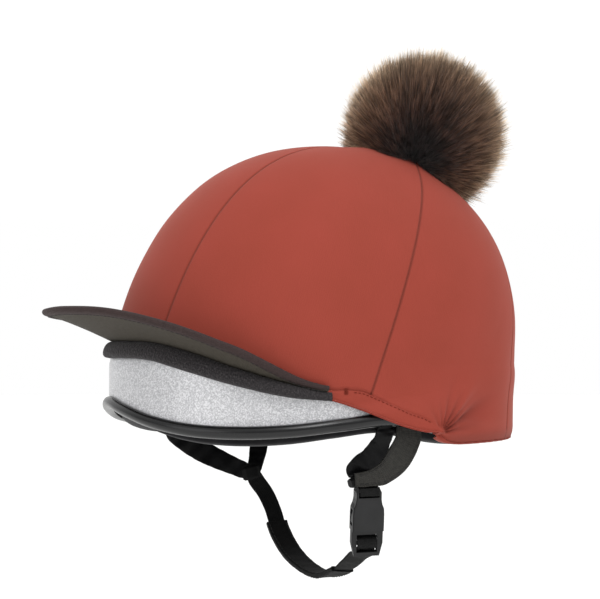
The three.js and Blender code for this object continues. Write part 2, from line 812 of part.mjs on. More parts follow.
function makePlug() {
  const top = -socketLength - partGap;
  const low = top - plugLength;
  const outline = [
    [-buckleHalf, top],
    [buckleHalf, top],
    [buckleHalf, low + 8],
    [buckleHalf * 0.8, low],
    [-buckleHalf * 0.8, low],
    [-buckleHalf, low + 8],
  ];
  const inner = buckleThickness - 3 - 2 * partGap;
  const frame = slab(outline, -plugThickness / 2, plugThickness);
  const upper = block(0, top - upperSlotDrop, 0, webSlotWidth, ladderSlot, plugThickness + 4);
  const lower = block(0, top - lowerSlotDrop, 0, webSlotWidth, ladderSlot, plugThickness + 4);
  const reach = buckleHalf - 1.5 - partGap;
  const prong = (side) =>
    slab(
      [
        [side * reach, top - 0.5],
        [side * reach, top + 4],
        [side * (reach + 1.6), top + 5.4],
        [side * (reach + 1.4), top + 10],
        [side * (reach - 0.4), top + prongLength],
        [side * (reach - prongWidth + 0.8), top + prongLength],
        [side * (reach - prongWidth), top + 9],
        [side * (reach - prongWidth), top - 0.5],
      ],
      -inner / 2,
      inner,
    );
  const guide = block(0, top + prongLength * 0.42, 0, 2.6, prongLength * 0.86, inner);
  const pieces = frame.subtract(upper).subtract(lower);
  return fromSolid(pieces.add(prong(1)).add(prong(-1)).add(guide));
}

// A place on the buckle: v along the strap from the socket's top and w out of its face.
function onBuckle(v, w) {
  return buckleTop.clone().addScaledVector(buckleRun, -v).addScaledVector(buckleOut, w);
}

// The strap climbs behind the plug's lowest bar, over the middle bar and back behind the top one.
const plugTop = -socketLength - partGap;
const plugFace = plugThickness / 2;
const overBar = plugFace + ladderThickness / 2 + 2.2 * partGap;
const buckleWide = buckleAcross.clone().negate();
const ladder = [
  [plugTop - plugLength - 2, -overBar - 2.2],
  [plugTop - plugLength + 1.2, -overBar],
  [plugTop - lowerSlotDrop - 0.9, -plugFace],
  [plugTop - lowerSlotDrop + 0.9, plugFace],
  [plugTop - (lowerSlotDrop + upperSlotDrop) / 2, overBar],
  [plugTop - upperSlotDrop - 0.9, plugFace],
  [plugTop - upperSlotDrop + 0.9, -plugFace],
  [plugTop - upperSlotDrop / 2 + 1.6, -overBar],
];
// The loop that ties the buckle to the straps goes down its face, through its slot and up its back.
const overSocket = buckleThickness / 2 + 0.5 + harnessThickness / 2 + 2 * partGap;
const loop = [
  [loopRise, overSocket],
  [-0.6, overSocket],
  [0.9 - loopSlotDrop, overSocket - 0.2],
  [-loopSlotDrop, overSocket * 0.7],
  [-loopSlotDrop, -overSocket * 0.7],
  [0.9 - loopSlotDrop, 0.2 - overSocket],
  [-0.6, -overSocket],
  [loopRise, -overSocket],
];

addPart("helmet_shell", makeShell(), "silverShell");
addPart("head_liner", makeLiner(), "linerFoam");
addPart("rim_trim", makeTrim(), "trimRubber");

seams.forEach((seam) => addPart(seam.name, makePanel(seam), "redJersey"));
addPart("cover_hem", makeHem(), "redJersey");
addPart("peak", makePeak(), "peakCloth");
addPart("peak_binding", makeBinding(), "peakCloth");
addPart("front_band", makeBand(), "bandCloth");
addPart("pompom_button", makeButton(), "redJersey");
addPart("pompom", makePompom(), "pompomFur");

addPart(
  "left_front_strap",
  makeStrap(
    [
      ...pocketEnd(101.5, 100.5, 11),
      station(hang(0.8598, 24, -53.5), vector(0.8, -0.6, 0), 11),
      station(hang(0.812, 18, -61), vector(1, -0.1, -0.1), 11),
    ],
    12,
  ),
  "harnessWebbing",
);
addPart(
  "left_rear_strap",
  makeStrap(
    [
      ...pocketEnd(110.5, 109.5, harnessWidth),
      station(hang(0.8738, 43, -55), vector(1, 0.1, -0.1)),
      station(hang(0.8636, 33.5, -63.5), vector(1, 0, 0), 12),
      station(hang(0.855, 24, -66.4), vector(1, 0, 0), 9),
      station(hang(0.8578, 16.5, -67), vector(1, 0, 0), 8),
    ],
    18,
  ),
  "harnessWebbing",
);
addPart(
  "left_strap_joint",
  makeJoint(leftJoint, vector(-0.1, 0.95, 0.22).normalize(), vector(0, 0.25, -0.95), 19, 6, 7),
  "harnessWebbing",
);
addPart(
  "right_front_strap",
  makeStrap(
    [
      ...pocketEnd(-57, -61, 13),
      station(hang(-0.8598, -30, -61.5), vector(-1, -0.2, 0), 15),
      station(hang(-0.8037, -3.2, -74.3), vector(-1, 0, 0), 12),
    ],
    14,
  ),
  "harnessWebbing",
);
addPart(
  "right_rear_strap",
  makeStrap(
    [
      ...pocketEnd(-100, -97, 14),
      station(hang(-0.8505, 11, -60), vector(-1, 0, 0), 13),
      station(hang(-0.8084, 7.3, -71.2), vector(-1, 0, 0), 11),
    ],
    12,
  ),
  "harnessWebbing",
);
addPart(
  "right_strap_joint",
  makeJoint(rightJoint, vector(0.15, 0.2, -0.96).normalize(), vector(0, 1, 0.2), 9, 13, 5),
  "harnessWebbing",
);
addPart(
  "buckle_loop",
  makeStrap(
    loop.map(([v, w]) => ({ ...station(onBuckle(v, w), buckleOut, chinWidth), across: buckleWide })),
    20,
  ),
  "harnessWebbing",
);
addPart("buckle_socket", placeBuckle(makeSocket()), "buckleNylon");
addPart("buckle_plug", placeBuckle(makePlug()), "buckleNylon");
addPart(
  "chin_strap",
  makeStrap(
    [
      station(rightJoint.clone().add(vector(1.2, 3.6, -5.5)), vector(-1, 0, -0.1), chinWidth),
      station(hang(-0.743, 12.5, -90.5), vector(-1, 0, -0.2), chinWidth),
      station(hang(-0.6636, 15.5, -101), vector(-0.9, 0, -0.4), chinWidth),
      station(hang(-0.5514, 17, -115), vector(-0.8, 0, -0.6), chinPadWidth, chinPadThickness),
      station(hang(-0.3925, 20, -127), vector(-0.5, 0, -0.8), chinPadWidth, chinPadThickness),
      station(hang(-0.1682, 23.5, -134), vector(-0.2, 0, -1), chinPadWidth, chinPadThickness),
      station(hang(0.0467, 27, -135.5), vector(0, 0, -1), chinPadWidth, chinPadThickness),
      station(hang(0.2523, 30, -129.5), vector(0.3, 0, -1), chinWidth),
      station(hang(0.4299, 30.5, -121.5), vector(0.4, 0, -0.9), chinWidth),
      station(hang(0.5607, 30.5, -115), vector(0.4, 0, -0.9), chinWidth),
      ...ladder.map(([v, w]) => ({
        ...station(onBuckle(v, w), buckleOut, chinWidth, ladderThickness),
        across: buckleWide,
      })),
    ],
    54,
  ),
  "harnessWebbing",
);

export default cap;
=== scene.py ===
import math
from functools import partial

import bpy
import numpy as np
from mathutils import Matrix, Vector


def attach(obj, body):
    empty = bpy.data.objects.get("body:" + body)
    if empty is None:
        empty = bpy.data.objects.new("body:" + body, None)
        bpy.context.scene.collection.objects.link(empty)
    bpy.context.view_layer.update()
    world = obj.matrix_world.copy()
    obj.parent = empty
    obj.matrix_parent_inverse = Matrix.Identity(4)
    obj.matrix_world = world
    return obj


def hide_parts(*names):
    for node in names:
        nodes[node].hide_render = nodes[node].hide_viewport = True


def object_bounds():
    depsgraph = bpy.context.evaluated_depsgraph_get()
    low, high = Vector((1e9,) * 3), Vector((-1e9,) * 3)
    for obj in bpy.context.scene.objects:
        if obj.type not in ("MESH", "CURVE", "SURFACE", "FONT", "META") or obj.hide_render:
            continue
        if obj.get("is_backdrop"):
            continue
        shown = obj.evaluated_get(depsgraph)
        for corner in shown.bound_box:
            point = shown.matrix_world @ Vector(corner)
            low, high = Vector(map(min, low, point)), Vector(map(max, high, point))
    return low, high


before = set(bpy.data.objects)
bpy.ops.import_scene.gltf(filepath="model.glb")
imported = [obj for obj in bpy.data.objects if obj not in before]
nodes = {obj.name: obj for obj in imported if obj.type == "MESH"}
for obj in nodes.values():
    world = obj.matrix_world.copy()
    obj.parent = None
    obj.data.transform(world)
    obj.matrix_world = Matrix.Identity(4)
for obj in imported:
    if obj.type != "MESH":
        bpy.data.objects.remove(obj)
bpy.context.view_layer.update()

print("jockey cap: head form")

# Sizes of the head form in millimetres and degrees, the same as the solids have.
head = {
    "halfWidth": 107, "frontReach": 111.7, "rearReach": 153.5, "rise": 140.5,
    "frontFullness": 2.7, "rearFullness": 1.95, "lean": 0.25,
    "cloth": 1.2, "gap": 0.3, "shell": 3, "liner": 17, "linerDrop": 3.3,
    "buttonBack": 81.3, "buttonTilt": math.radians(24.1), "buttonRadius": 9, "fanReach": 108,
    "seamAngle": 26.7, "trimLip": 2.2, "peakEnd": 86, "hemStart": 87.4, "strapSlack": 0.4,
}
head["shellInner"] = -head["cloth"] - head["gap"] - head["shell"]
# Heights round the head, by degrees from the middle of the forehead to the nape.
tables = {
    "coverEdge": ((0, 15, 30, 45, 60, 75, 87, 95, 98.5, 102.4, 106.3, 110, 114, 118, 125, 180),
                  (15.3, 15, 13.7, 8, -0.9, -10, -14.2, -15, -18, -22.6, -27.3, -30.8, -37, -43.4, -45.2, -45.5)),
    "bandBottom": ((0, 15, 30, 45, 60, 75, 88), (3.8, 3.8, 2.3, -4.3, -11.9, -18.2, -20.6)),
    "rim": ((0, 15, 30, 45, 60, 75, 90, 103, 112, 122, 135, 180),
            (-27.2, -31.2, -37, -41, -42.2, -41.2, -38.2, -35.4, -39.4, -43, -44.5, -44.6)),
    "hemBottom": ((86, 90, 95, 100, 105, 110, 113, 115.5, 118, 125, 180),
                  (-19.8, -21.6, -26, -31.2, -36, -39.4, -40.2, -44.5, -46.8, -48.2, -48.2)),
    "peakDepth": ((0, 15, 30, 45, 60, 72, 80, 86), (42, 41, 36, 28.5, 18.5, 10.5, 6.5, 5.2)),
    "peakRise": ((0, 15, 30, 45, 60, 72, 80, 86), (16.8, 17.2, 16.3, 14.2, 10.9, 8, 5.8, 4.4)),
}


def smoothStep(value, low, high):
    share = np.clip((value - low) / (high - low), 0, 1)
    return share * share * (3 - 2 * share)


def bell(value, middle, width):
    return np.exp(-((value - middle) / width) ** 2)


def fromFront(angle):  # degrees from the middle of the forehead, on either side
    turn = np.abs(angle) % 360
    return np.where(turn > 180, 360 - turn, turn)


def unit(vectors):
    return vectors / np.maximum(np.linalg.norm(vectors, axis=-1, keepdims=True), 1e-9)


def readTable(name, angle):  # a smooth reading, the same on both sides of the head
    xs, ys = (np.array(column, float) for column in tables[name])
    turn = np.clip(fromFront(np.asarray(angle, float)), xs[0], xs[-1])
    slopes = np.empty(len(xs))
    slopes[1:-1] = (ys[2:] - ys[:-2]) / (xs[2:] - xs[:-2])
    slopes[0] = 0 if xs[0] == 0 else (ys[1] - ys[0]) / (xs[1] - xs[0])
    slopes[-1] = 0 if xs[-1] == 180 else (ys[-1] - ys[-2]) / (xs[-1] - xs[-2])
    i = np.clip(np.searchsorted(xs, turn, side="right") - 1, 0, len(xs) - 2)
    span, rise = xs[i + 1] - xs[i], ys[i + 1] - ys[i]
    t = (turn - xs[i]) / span
    a, b = slopes[i] * span - rise, rise - slopes[i + 1] * span
    return ys[i] + rise * t + t * (1 - t) * (a * (1 - t) + b * t)


def fullness(cosine):
    return head["frontFullness"] + (head["rearFullness"] - head["frontFullness"]) * (1 - cosine) / 2


def wallPoint(angle, offset, height):  # a point of the head form, by the layer's offset from the cover's face
    angle, offset, height = np.broadcast_arrays(np.radians(angle), offset, height)
    cosine, sine = np.cos(angle), np.sin(angle)
    n = fullness(cosine)
    share = np.clip(height / (head["rise"] + offset), 0, 1)
    narrowing = (1 - share ** n) ** (1 / n)
    reach = np.where(cosine > 0, head["frontReach"], head["rearReach"]) + offset
    back = head["lean"] * np.maximum(height, 0)
    return np.stack([(head["halfWidth"] + offset) * sine * narrowing,
                     back - reach * cosine * narrowing, height + 0.0 * cosine], -1)


def planWay(points, offset):  # sideways and forwards from the middle of a layer, as shares of its reach
    y = points[..., 1] - head["lean"] * np.maximum(points[..., 2], 0)
    reach = np.where(y < 0, head["frontReach"], head["rearReach"]) + offset
    return points[..., 0] / (head["halfWidth"] + offset), -y / reach


def layerLevel(points, offset):  # below 1 inside the layer
    up = np.maximum(points[..., 2], 0)
    x, y = planWay(points, offset)
    plan = np.hypot(x, y)
    n = fullness(y / np.maximum(plan, 1e-9))
    return np.where(up > 0, (plan ** n + (up / (head["rise"] + offset)) ** n) ** (1 / n), plan)


def headAngle(points, offset=0):
    return np.degrees(np.arctan2(*planWay(points, offset)))


def layerHit(start, directions, offset):  # where rays from inside meet the layer
    near = np.zeros(directions.shape[:-1])
    far = near + 400
    for _ in range(36):
        middle = (near + far) / 2
        inside = layerLevel(start + directions * middle[..., None], offset) < 1
        near, far = np.where(inside, middle, near), np.where(inside, far, middle)
    return start + directions * near[..., None]


def outwardAt(angle):
    angle = np.radians(angle)
    reach = np.where(np.cos(angle) > 0, head["frontReach"], head["rearReach"])
    return unit(np.stack([np.sin(angle) / head["halfWidth"], -np.cos(angle) / reach, 0 * angle], -1))


tilt = head["buttonTilt"]
buttonUp = np.array([0, math.sin(tilt), math.cos(tilt)])
buttonFront = np.array([0, -math.cos(tilt), math.sin(tilt)])
buttonFoot = layerHit(np.array([0, head["buttonBack"], 0.0]), np.array([[0, 0, 1.0]]), 0)[0]
fanCentre = buttonFoot - buttonUp * head["fanReach"]
fanStart = math.degrees((head["buttonRadius"] - 2) / head["fanReach"])


def fanDirection(turn, lean):
    turn, lean = np.broadcast_arrays(np.radians(turn), np.radians(lean))
    return (np.cos(lean)[..., None] * buttonUp
            + (np.sin(lean) * np.cos(turn))[..., None] * buttonFront
            + (np.sin(lean) * np.sin(turn))[..., None] * np.array([1.0, 0, 0]))


def fanEnd(turn, drop=0.0):  # how far the cover leans over before it reaches its edge
    turn = np.asarray(turn, float)
    near, far = turn * 0 + 40, turn * 0 + 175
    for _ in range(30):
        middle = (near + far) / 2
        points = layerHit(fanCentre, fanDirection(turn, middle), 0)
        above = points[..., 2] > readTable("coverEdge", headAngle(points)) - drop
        near, far = np.where(above, middle, near), np.where(above, far, middle)
    return near


print("jockey cap: mesh tools")


def placed(name, data):
    made = bpy.data.objects.new(name, data)
    bpy.context.scene.collection.objects.link(made)
    return made


def outwardOf(points):  # square to a grid of points, away from the inside of the crown
    ways = unit(np.cross(np.gradient(points, axis=1), np.gradient(points, axis=0)))
    return ways * np.sign(np.sum(ways * (points - fanCentre), -1))[..., None]


def gridPiece(name, points, lay=None, around=False, closed=False, caps=False, inside=None, paintedFoldShade=None):
    # A mesh over a grid of points in mm. lay is where each point lies on the material, also in mm, and the last
    # argument is how much painted shade a point gets in a fold, from 0 to 1.
    lay = gridLay(points) if lay is None else lay
    rows, columns = points.shape[:2]
    layIndex = np.arange(rows * columns).reshape(rows, columns)
    index = layIndex.copy()
    if around:
        index[-1] = index[0]
    if closed:
        index[:, -1] = index[:, 0]
    flat = points.reshape(-1, 3)
    _, first, same = np.unique(np.round(flat, 3), axis=0, return_index=True, return_inverse=True)
    index = first[same.reshape(-1)][index]
    loops = [(1, ((i, j), (i + 1, j), (i + 1, j + 1), (i, j + 1)))
             for i in range(rows - 1) for j in range(columns - 1)]
    if caps:
        loops += [(step, [(row, j) for j in range(columns)]) for row, step in ((0, -1), (rows - 1, 1))]
    faces, layFaces = [], []
    for step, corners in loops:
        kept = {index[c]: layIndex[c] for c in corners}
        if len(kept) > 2:
            faces.append(list(kept)[::step])
            layFaces.append(list(kept.values())[::step])
    used = np.unique([k for face in faces for k in face])
    place = {int(k): n for n, k in enumerate(used)}
    faces = [[place[int(k)] for k in face] for face in faces]
    vertices = flat[used] / 1000
    if inside is not None:  # the faces look away from this place
        a, b, c = (vertices[[face[k] for face in faces]] for k in range(3))
        if np.sum(np.cross(b - a, c - a) * (a - np.array(inside) / 1000)) < 0:
            faces, layFaces = [f[::-1] for f in faces], [f[::-1] for f in layFaces]
    mesh = bpy.data.meshes.new(name)
    mesh.from_pydata(vertices.tolist(), [], faces)
    uv = mesh.uv_layers.new(name="UVMap")
    order = [k for face in layFaces for k in face]
    uv.data.foreach_set("uv", lay.reshape(-1, 2)[order].astype(np.float32).ravel())
    if paintedFoldShade is not None:
        depth = mesh.attributes.new("paintedFoldShade", "FLOAT", "POINT")
        depth.data.foreach_set("value", paintedFoldShade.reshape(-1)[used].astype(np.float32))
    mesh.shade_smooth()
    return placed(name, mesh)


def lengths(points, axis=0):  # how far each point of a grid is from where its row or column starts
    return np.insert(np.linalg.norm(np.diff(points, axis=axis), axis=-1).cumsum(axis), 0, 0, axis=axis)


def gridLay(points, sideways=None):  # arc lengths across and along the grid
    across = lengths(points, 1) if sideways is None else sideways
    return np.stack([across, lengths(points).mean(1, keepdims=True) + 0 * across], -1)


def thicken(piece, thickness, side=-1.0):
    step = piece.modifiers.new("thickness", "SOLIDIFY")
    step.thickness, step.offset = thickness / 1000, side


def soften(piece, width):
    step = piece.modifiers.new("edges", "BEVEL")
    step.width, step.segments, step.limit_method, step.angle_limit = width / 1000, 3, "ANGLE", math.radians(25)


def finishPiece(piece, finish, replaced=(), sharp=None):
    piece.data.materials.append(finishes[finish])
    if sharp:
        piece.data.set_sharp_from_angle(angle=math.radians(sharp))
    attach(piece, "root")
    if replaced:
        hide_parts(*replaced)


print("jockey cap: materials")


def linear(hexText):
    parts = [int(hexText[i:i + 2], 16) / 255 for i in (1, 3, 5)]
    return tuple(p / 12.92 if p <= 0.04045 else ((p + 0.055) / 1.055) ** 2.4 for p in parts) + (1.0,)


def addNode(tree, kind, inputs=None, stops=(), **settings):
    # A node with its settings and what feeds it: a value, another node's first output or any output.
    node = tree.nodes.new("ShaderNode" + kind)
    for key, value in settings.items():
        setattr(node, key, value)
    for _ in stops[2:]:
        node.color_ramp.elements.new(0.5)
    if stops:
        for element, (place, colour) in zip(node.color_ramp.elements, stops):
            element.position, element.color = place, linear(colour)
    for key, value in (inputs or {}).items():
        if isinstance(value, bpy.types.Node):
            value = value.outputs[0]
        if isinstance(value, bpy.types.NodeSocket):
            tree.links.new(value, node.inputs[key])
        else:
            node.inputs[key].default_value = value
    return node


def newFinish(name, roughness, specular=0.5, more=None):
    material = bpy.data.materials.new(name)
    material.use_nodes = True
    shader = material.node_tree.nodes["Principled BSDF"]
    for key, value in {"Roughness": roughness, "Specular IOR Level": specular, **(more or {})}.items():
        shader.inputs[key].default_value = value
    return material, partial(addNode, material.node_tree)


def dress(material, colour, height=None, strength=0.3, depth=0.3):  # its colour, and its relief with a depth in mm
    tree = material.node_tree
    shader = tree.nodes["Principled BSDF"]
    tree.links.new(colour, shader.inputs["Base Color"])
    if height:
        bump = addNode(tree, "Bump", {"Strength": strength, "Distance": depth / 1000, "Height": height})
        tree.links.new(bump.outputs[0], shader.inputs["Normal"])
    return material


# The mix node's own sockets: share, first colour, second colour and the result.
mixShare, mixFirst, mixSecond, mixResult = 0, 6, 7, 2


def stretchJersey(name, colours, seam):
    # Polyester and elastane jersey, circular knitted and piece dyed: matt, even, a soft halo where it turns away.
    material, add = newFinish(name, 0.8, 0.2, {"Sheen Weight": 0.12, "Sheen Roughness": 0.4,
                                                "Sheen Tint": linear("#e9b3a4")})
    lay = add("UVMap")
    # Painted shade: near a seam the colour blends to the seam colour, a darker line standing in for the shadow in the
    # seam's groove.
    near = add("MapRange", {"Value": add("SeparateXYZ", {0: lay}), "From Min": 0.15,
                                      "From Max": 1.5, "To Min": 1.0, "To Max": 0.0}, interpolation_type="SMOOTHSTEP")
    drift = add("TexNoise", {"Vector": lay, "Scale": 0.022, "Detail": 2.0})  # 45 mm clouds
    shade = add("ValToRGB", {0: drift}, ((0.3, colours[0]), (0.7, colours[1])))
    mixed = add("Mix", {mixShare: near, mixFirst: shade, mixSecond: linear(seam)}, data_type="RGBA")
    # Painted shade: the colour is darkened, down to 0.42, by how deep a point lies in a fold or how far the cloth
    # turns under, standing in for the shadow there.
    depth = add("Attribute", attribute_name="paintedFoldShade").outputs["Fac"]
    shaded = add("MapRange", {"Value": depth, "To Min": 1.0, "To Max": 0.42})
    deep = add("Mix", {mixShare: 1.0, mixFirst: mixed.outputs[mixResult], mixSecond: shaded},
                   data_type="RGBA", blend_type="MULTIPLY")
    # Wales 0.4 mm apart are too fine to show, so they are drawn at 1.3 mm.
    wales = add("TexWave", {"Vector": lay, "Scale": 0.24, "Distortion": 1.2, "Detail": 2.0,
                                      "Detail Scale": 1.5}, bands_direction="X")
    grain = add("TexNoise", {"Vector": lay, "Scale": 0.9, "Detail": 4.0})
    both = add("Math", {0: wales.outputs["Fac"], 1: 0.45, 2: grain}, operation="MULTIPLY_ADD")
    return dress(material, deep.outputs[mixResult], both, 0.22, 0.2)


def glitterLacquer(name):
    # ABS shell sprayed with silver lacquer full of fine flakes: each flake leans its own way, drawn as a bump, and
    # its sparkle or dimness is also painted into its colour as a lighter or darker fleck.
    material, add = newFinish(name, 0.4, 0.5, {"Metallic": 0.5, "Coat Weight": 0.3, "Coat Roughness": 0.25})
    place = add("TexCoord").outputs["Object"]
    # Flakes of 0.3 mm are drawn at 0.6 mm so that they show.
    flakes = add("TexVoronoi", {"Vector": place, "Scale": 1700.0})
    fleck = add("SeparateColor", {0: flakes.outputs["Color"]})
    cloud = add("TexNoise", {"Vector": place, "Scale": 600.0, "Detail": 3.0})
    both = add("Math", {0: cloud, 1: 0.3, 2: fleck}, operation="MULTIPLY_ADD")
    # Painted sparkle: each flake drawn lighter or darker, over wider clouds of tone.
    shade = add("ValToRGB", {0: both}, ((0.15, "#a2a2a5"), (0.6, "#b5b5b8"), (1.0, "#d3d3d5")))
    return dress(material, shade.outputs[0], fleck.outputs["Green"], 0.35)


def grainedFinish(name, colours, roughness, specular, grain, strength, space="UV", more=None):
    # One ground with a fine grain: moulded rubber, moulded nylon or brushed lining. grain is its size in mm.
    material, add = newFinish(name, roughness, specular, more)
    place = add("TexCoord").outputs[space]
    perMillimetre = 1.0 if space == "UV" else 1000.0
    fine = add("TexNoise", {"Vector": place, "Scale": perMillimetre / grain, "Detail": 3.0})
    wide = add("TexNoise", {"Vector": place, "Scale": perMillimetre / 14, "Detail": 2.0})
    shade = add("ValToRGB", {0: wide}, ((0.35, colours[0]), (0.65, colours[1])))
    return dress(material, shade.outputs[0], fine, strength)


def wovenCloth(name, colours, roughness, specular, thread, strength):
    # Plain or twill weave: thread is the pitch in mm that the eye sees, warp and weft each a row of soft ridges.
    material, add = newFinish(name, roughness, specular)
    lay = add("UVMap")
    warp, weft = (add("TexWave", {"Vector": lay, "Scale": 0.314 / thread, "Distortion": 0.6, "Detail": 1.0},
                          bands_direction=way).outputs["Fac"] for way in "XY")
    weave = add("Math", {0: warp, 1: weft}, operation="MULTIPLY")
    slub = add("TexNoise", {"Vector": lay, "Scale": 0.5, "Detail": 5.0})
    share = add("Math", {0: weave, 1: 0.35, 2: slub}, operation="MULTIPLY_ADD")
    shade = add("ValToRGB", {0: share}, ((0.35, colours[0]), (0.8, colours[1])))
    return dress(material, shade.outputs[0], weave, strength)


def fleckedKnit(name):
    # Brushed wool mix knit: charcoal ground, pale fibres caught on top, ribs that run up and down the roll.
    material, add = newFinish(name, 0.95, 0.12, {"Sheen Weight": 0.08})
    lay = add("UVMap")
    fibres = add("TexNoise", {"Vector": lay, "Scale": 0.95, "Detail": 6.0, "Roughness": 0.75})
    shade = add("ValToRGB", {0: fibres},
                    ((0.38, "#1f1d1f"), (0.56, "#343132"), (0.68, "#565253"), (0.78, "#7d7978")))
    loops = add("TexVoronoi", {"Vector": lay, "Scale": 0.62}, voronoi_dimensions="2D")
    return dress(material, shade.outputs[0], loops, 0.7, 0.8)


def fauxFur(name, stops):
    # Modacrylic faux fur: dark at the root, brown along its length, bleached at the tip, no two hairs the same. Its
    # ramp also paints the shade deep in the pile, darkest where the pile is seen end on.
    material, add = newFinish(name, 0.55, 0.3, {"Sheen Weight": 0.15})
    lay = add("SeparateXYZ", {0: add("UVMap")})
    shade = add("ValToRGB", {0: lay.outputs["Y"]}, stops)
    tint = add("MapRange", {"Value": lay, "To Min": 0.35, "To Max": 2.6})
    mixed = add("Mix", {mixShare: 1.0, mixFirst: shade, mixSecond: tint},
                    data_type="RGBA", blend_type="MULTIPLY")
    return dress(material, mixed.outputs[mixResult])


finishes = {
    # The cover's last colour is the painted seam shade; the hem's is its plain colour.
    "cover": stretchJersey("stretchJerseyRust", ("#88372a", "#8d392d"), "#6f2d22"),
    "hem": stretchJersey("stretchJerseyHem", ("#88372a", "#8d392d"), "#88372a"),
    "shell": glitterLacquer("glitterLacquerSilver"),
    "trim": grainedFinish("mouldedRubberBlack", ("#0b0b0c", "#101011"), 0.25, 0.36, 0.8, 0.1),
    "liner": grainedFinish("brushedLiningBlack", ("#131314", "#1d1c1e"), 0.95, 0.15, 0.9, 0.5, "UV",
                           {"Sheen Weight": 0.1}),
    "peak": wovenCloth("wovenCottonCharcoal", ("#35312a", "#433e37"), 0.86, 0.2, 1.1, 0.35),
    "binding": wovenCloth("wovenTapeCharcoal", ("#2c2221", "#392d2c"), 0.8, 0.2, 1.0, 0.3),
    "band": fleckedKnit("fleckedKnitCharcoal"),
    "furCore": fauxFur("fauxFurUnderwool", ((0.0, "#150d0c"), (0.6, "#1f1512"), (1.0, "#33241d"))),
    "fur": fauxFur("fauxFurBrown", ((0.0, "#130b09"), (0.2, "#20140f"), (0.45, "#4a342a"), (0.75, "#69503f"),
                                    (0.92, "#7f6853"), (1.0, "#cdbba2"))),
    "webbing": wovenCloth("wovenWebbingBlack", ("#0f0f0f", "#1a1a1a"), 0.7, 0.08, 1.2, 0.6),
    "satin": wovenCloth("crinkledSatinBlack", ("#050506", "#0b0b0c"), 0.36, 0.1, 0.9, 0.2),
    "tape": wovenCloth("brushedTapeBlack", ("#262523", "#33322f"), 0.85, 0.2, 1.2, 0.5),
    "nylon": grainedFinish("mouldedNylonBlack", ("#141415", "#1b1b1c"), 0.42, 0.28, 0.5, 0.15, "Object"),
    "keeper": grainedFinish("foldedWebbingBlack", ("#0c0c0c", "#161616"), 0.6, 0.1, 0.7, 0.4, "Object"),
    "thread": grainedFinish("spunThreadBlack", ("#232222", "#302e2e"), 0.7, 0.25, 0.5, 0.3, "Object"),
    "redThread": grainedFinish("spunThreadRust", ("#5f2118", "#6d2a1f"), 0.9, 0.05, 0.5, 0.3, "Object"),
}

print("jockey cap: stretch cover")

cover = {
    "across": 56, "down": 96, "fineAcross": 100, "fineDown": 120, "gatherShare": 0.5, "hemCrowding": 1.6,
    "seamDepth": 0.5, "seamWidth": 0.8, "sideBend": 3.4, "lap": 1.0, "stretch": 1.12, "ripple": 0.14,
    "foldAngle": 114.3, "foldHeight": -40.0, "foldDepth": 1.9, "degreeLength": 2.4, "trimHeight": 7.5, "proud": 3.0,
    "tentHeight": 4.6, "tentWidth": 24.0, "tentReach": 55.0,
}
# The way each fold runs and how wide it opens, both in degrees, how far it reaches in mm and how deep it is.
foldLines = ((78, 8, 13, 1.1), (60, 6, 19, 1.5), (45, 5, 24, 1.9), (33, 4, 27, 1.7), (20, 4.5, 34, 1.8),
             (6, 5, 24, 1.5), (104, 12, 12, 0.8))


def coverFolds(angle, height):
    # Folds fan out from where the elastic gathers the hem behind the strap. Also the painted shade for each point:
    # darker deep in the folds and where the cloth turns under.
    turn = fromFront(angle)
    x, z = (turn - cover["foldAngle"]) * cover["degreeLength"], height - cover["foldHeight"]
    away, lean = np.hypot(x, z), np.degrees(np.arctan2(z, x))
    valleys = sum(deep * bell(lean, where, wide) * bell(away, 0, reach) for where, wide, reach, deep in foldLines)
    valleys = valleys * smoothStep(away, 1.0, 5.0)
    broad = bell(lean, 16, 13) * bell(away, 32, 20)
    ridge = bell(lean, 40, 11) * bell(away, 30, 18)
    mound = 2.4 * bell(away, 0, 21) * smoothStep(lean, -25, 10)
    folds = cover["foldDepth"] * (mound - valleys - 1.3 * broad + 1.0 * ridge)
    overTrim = smoothStep(height - readTable("rim", angle), 12.0, 7.5)  # it can't sink into the rubber there
    # Painted shade where the cloth turns under at the back.
    turnedUnderShade = 0.42 * smoothStep(-37.5 - height, 0, 8.5) * smoothStep(turn, 112, 121)
    # How much painted shade each point gets, from 0 to 1: most in the valleys, some in the broad hollow, less on the
    # ridge, more where it turns under.
    depth = np.clip(0.42 * valleys + 0.22 * broad - 0.12 * ridge + turnedUnderShade, 0, 1)
    return np.where(folds < 0, folds * (1 - overTrim), folds), depth


def rimBulge(angle, height):  # how far the cover stands out where it passes over the rubber rim
    turn = fromFront(angle)
    behind = smoothStep(turn, 118, 138)
    spread = 8 + 18 * smoothStep(turn, 100, 125) + 84 * smoothStep(turn, 125, 155)
    under = 1.3 * smoothStep(-41.5 - height, 0, 6) * smoothStep(turn, 114, 120)
    reach = readTable("rim", angle) + cover["trimHeight"] + spread - height
    eased = 1.7 * bell(height, -5, 12) * behind  # fills the hollow where the crown meets its wall
    return cover["proud"] * (1 - 0.36 * behind) * smoothStep(reach, 0, spread) - under + eased


def coverRipple(points):  # the cloth is pulled smooth, and only drifts a little
    x, y, z = points[..., 0], points[..., 1], points[..., 2]
    return cover["ripple"] * (np.sin(x / 17 + z / 29) + np.sin(y / 23 - z / 19 + 1.3) + 0.5 * np.sin((y + z) / 9))


sheetSizes = {}


def stretchedSheet(piece, points):
    keep = 1000 * math.sqrt(cover["stretch"])
    flat = tuple(round(float(lengths(points, axis).max()) / keep, 3) for axis in (1, 0))
    sheetSizes[piece.name] = flat


def gatherShares(count, gather):  # columns crowd together at the seams and where the cloth gathers
    share = np.linspace(0, 1, 801)
    total = np.cumsum(1 + 7 * np.exp(-np.minimum(share, 1 - share) / 0.015) + 2.5 * bell(share, gather, 0.17))
    return np.interp(np.linspace(total[0], total[-1], count + 1), total, share)


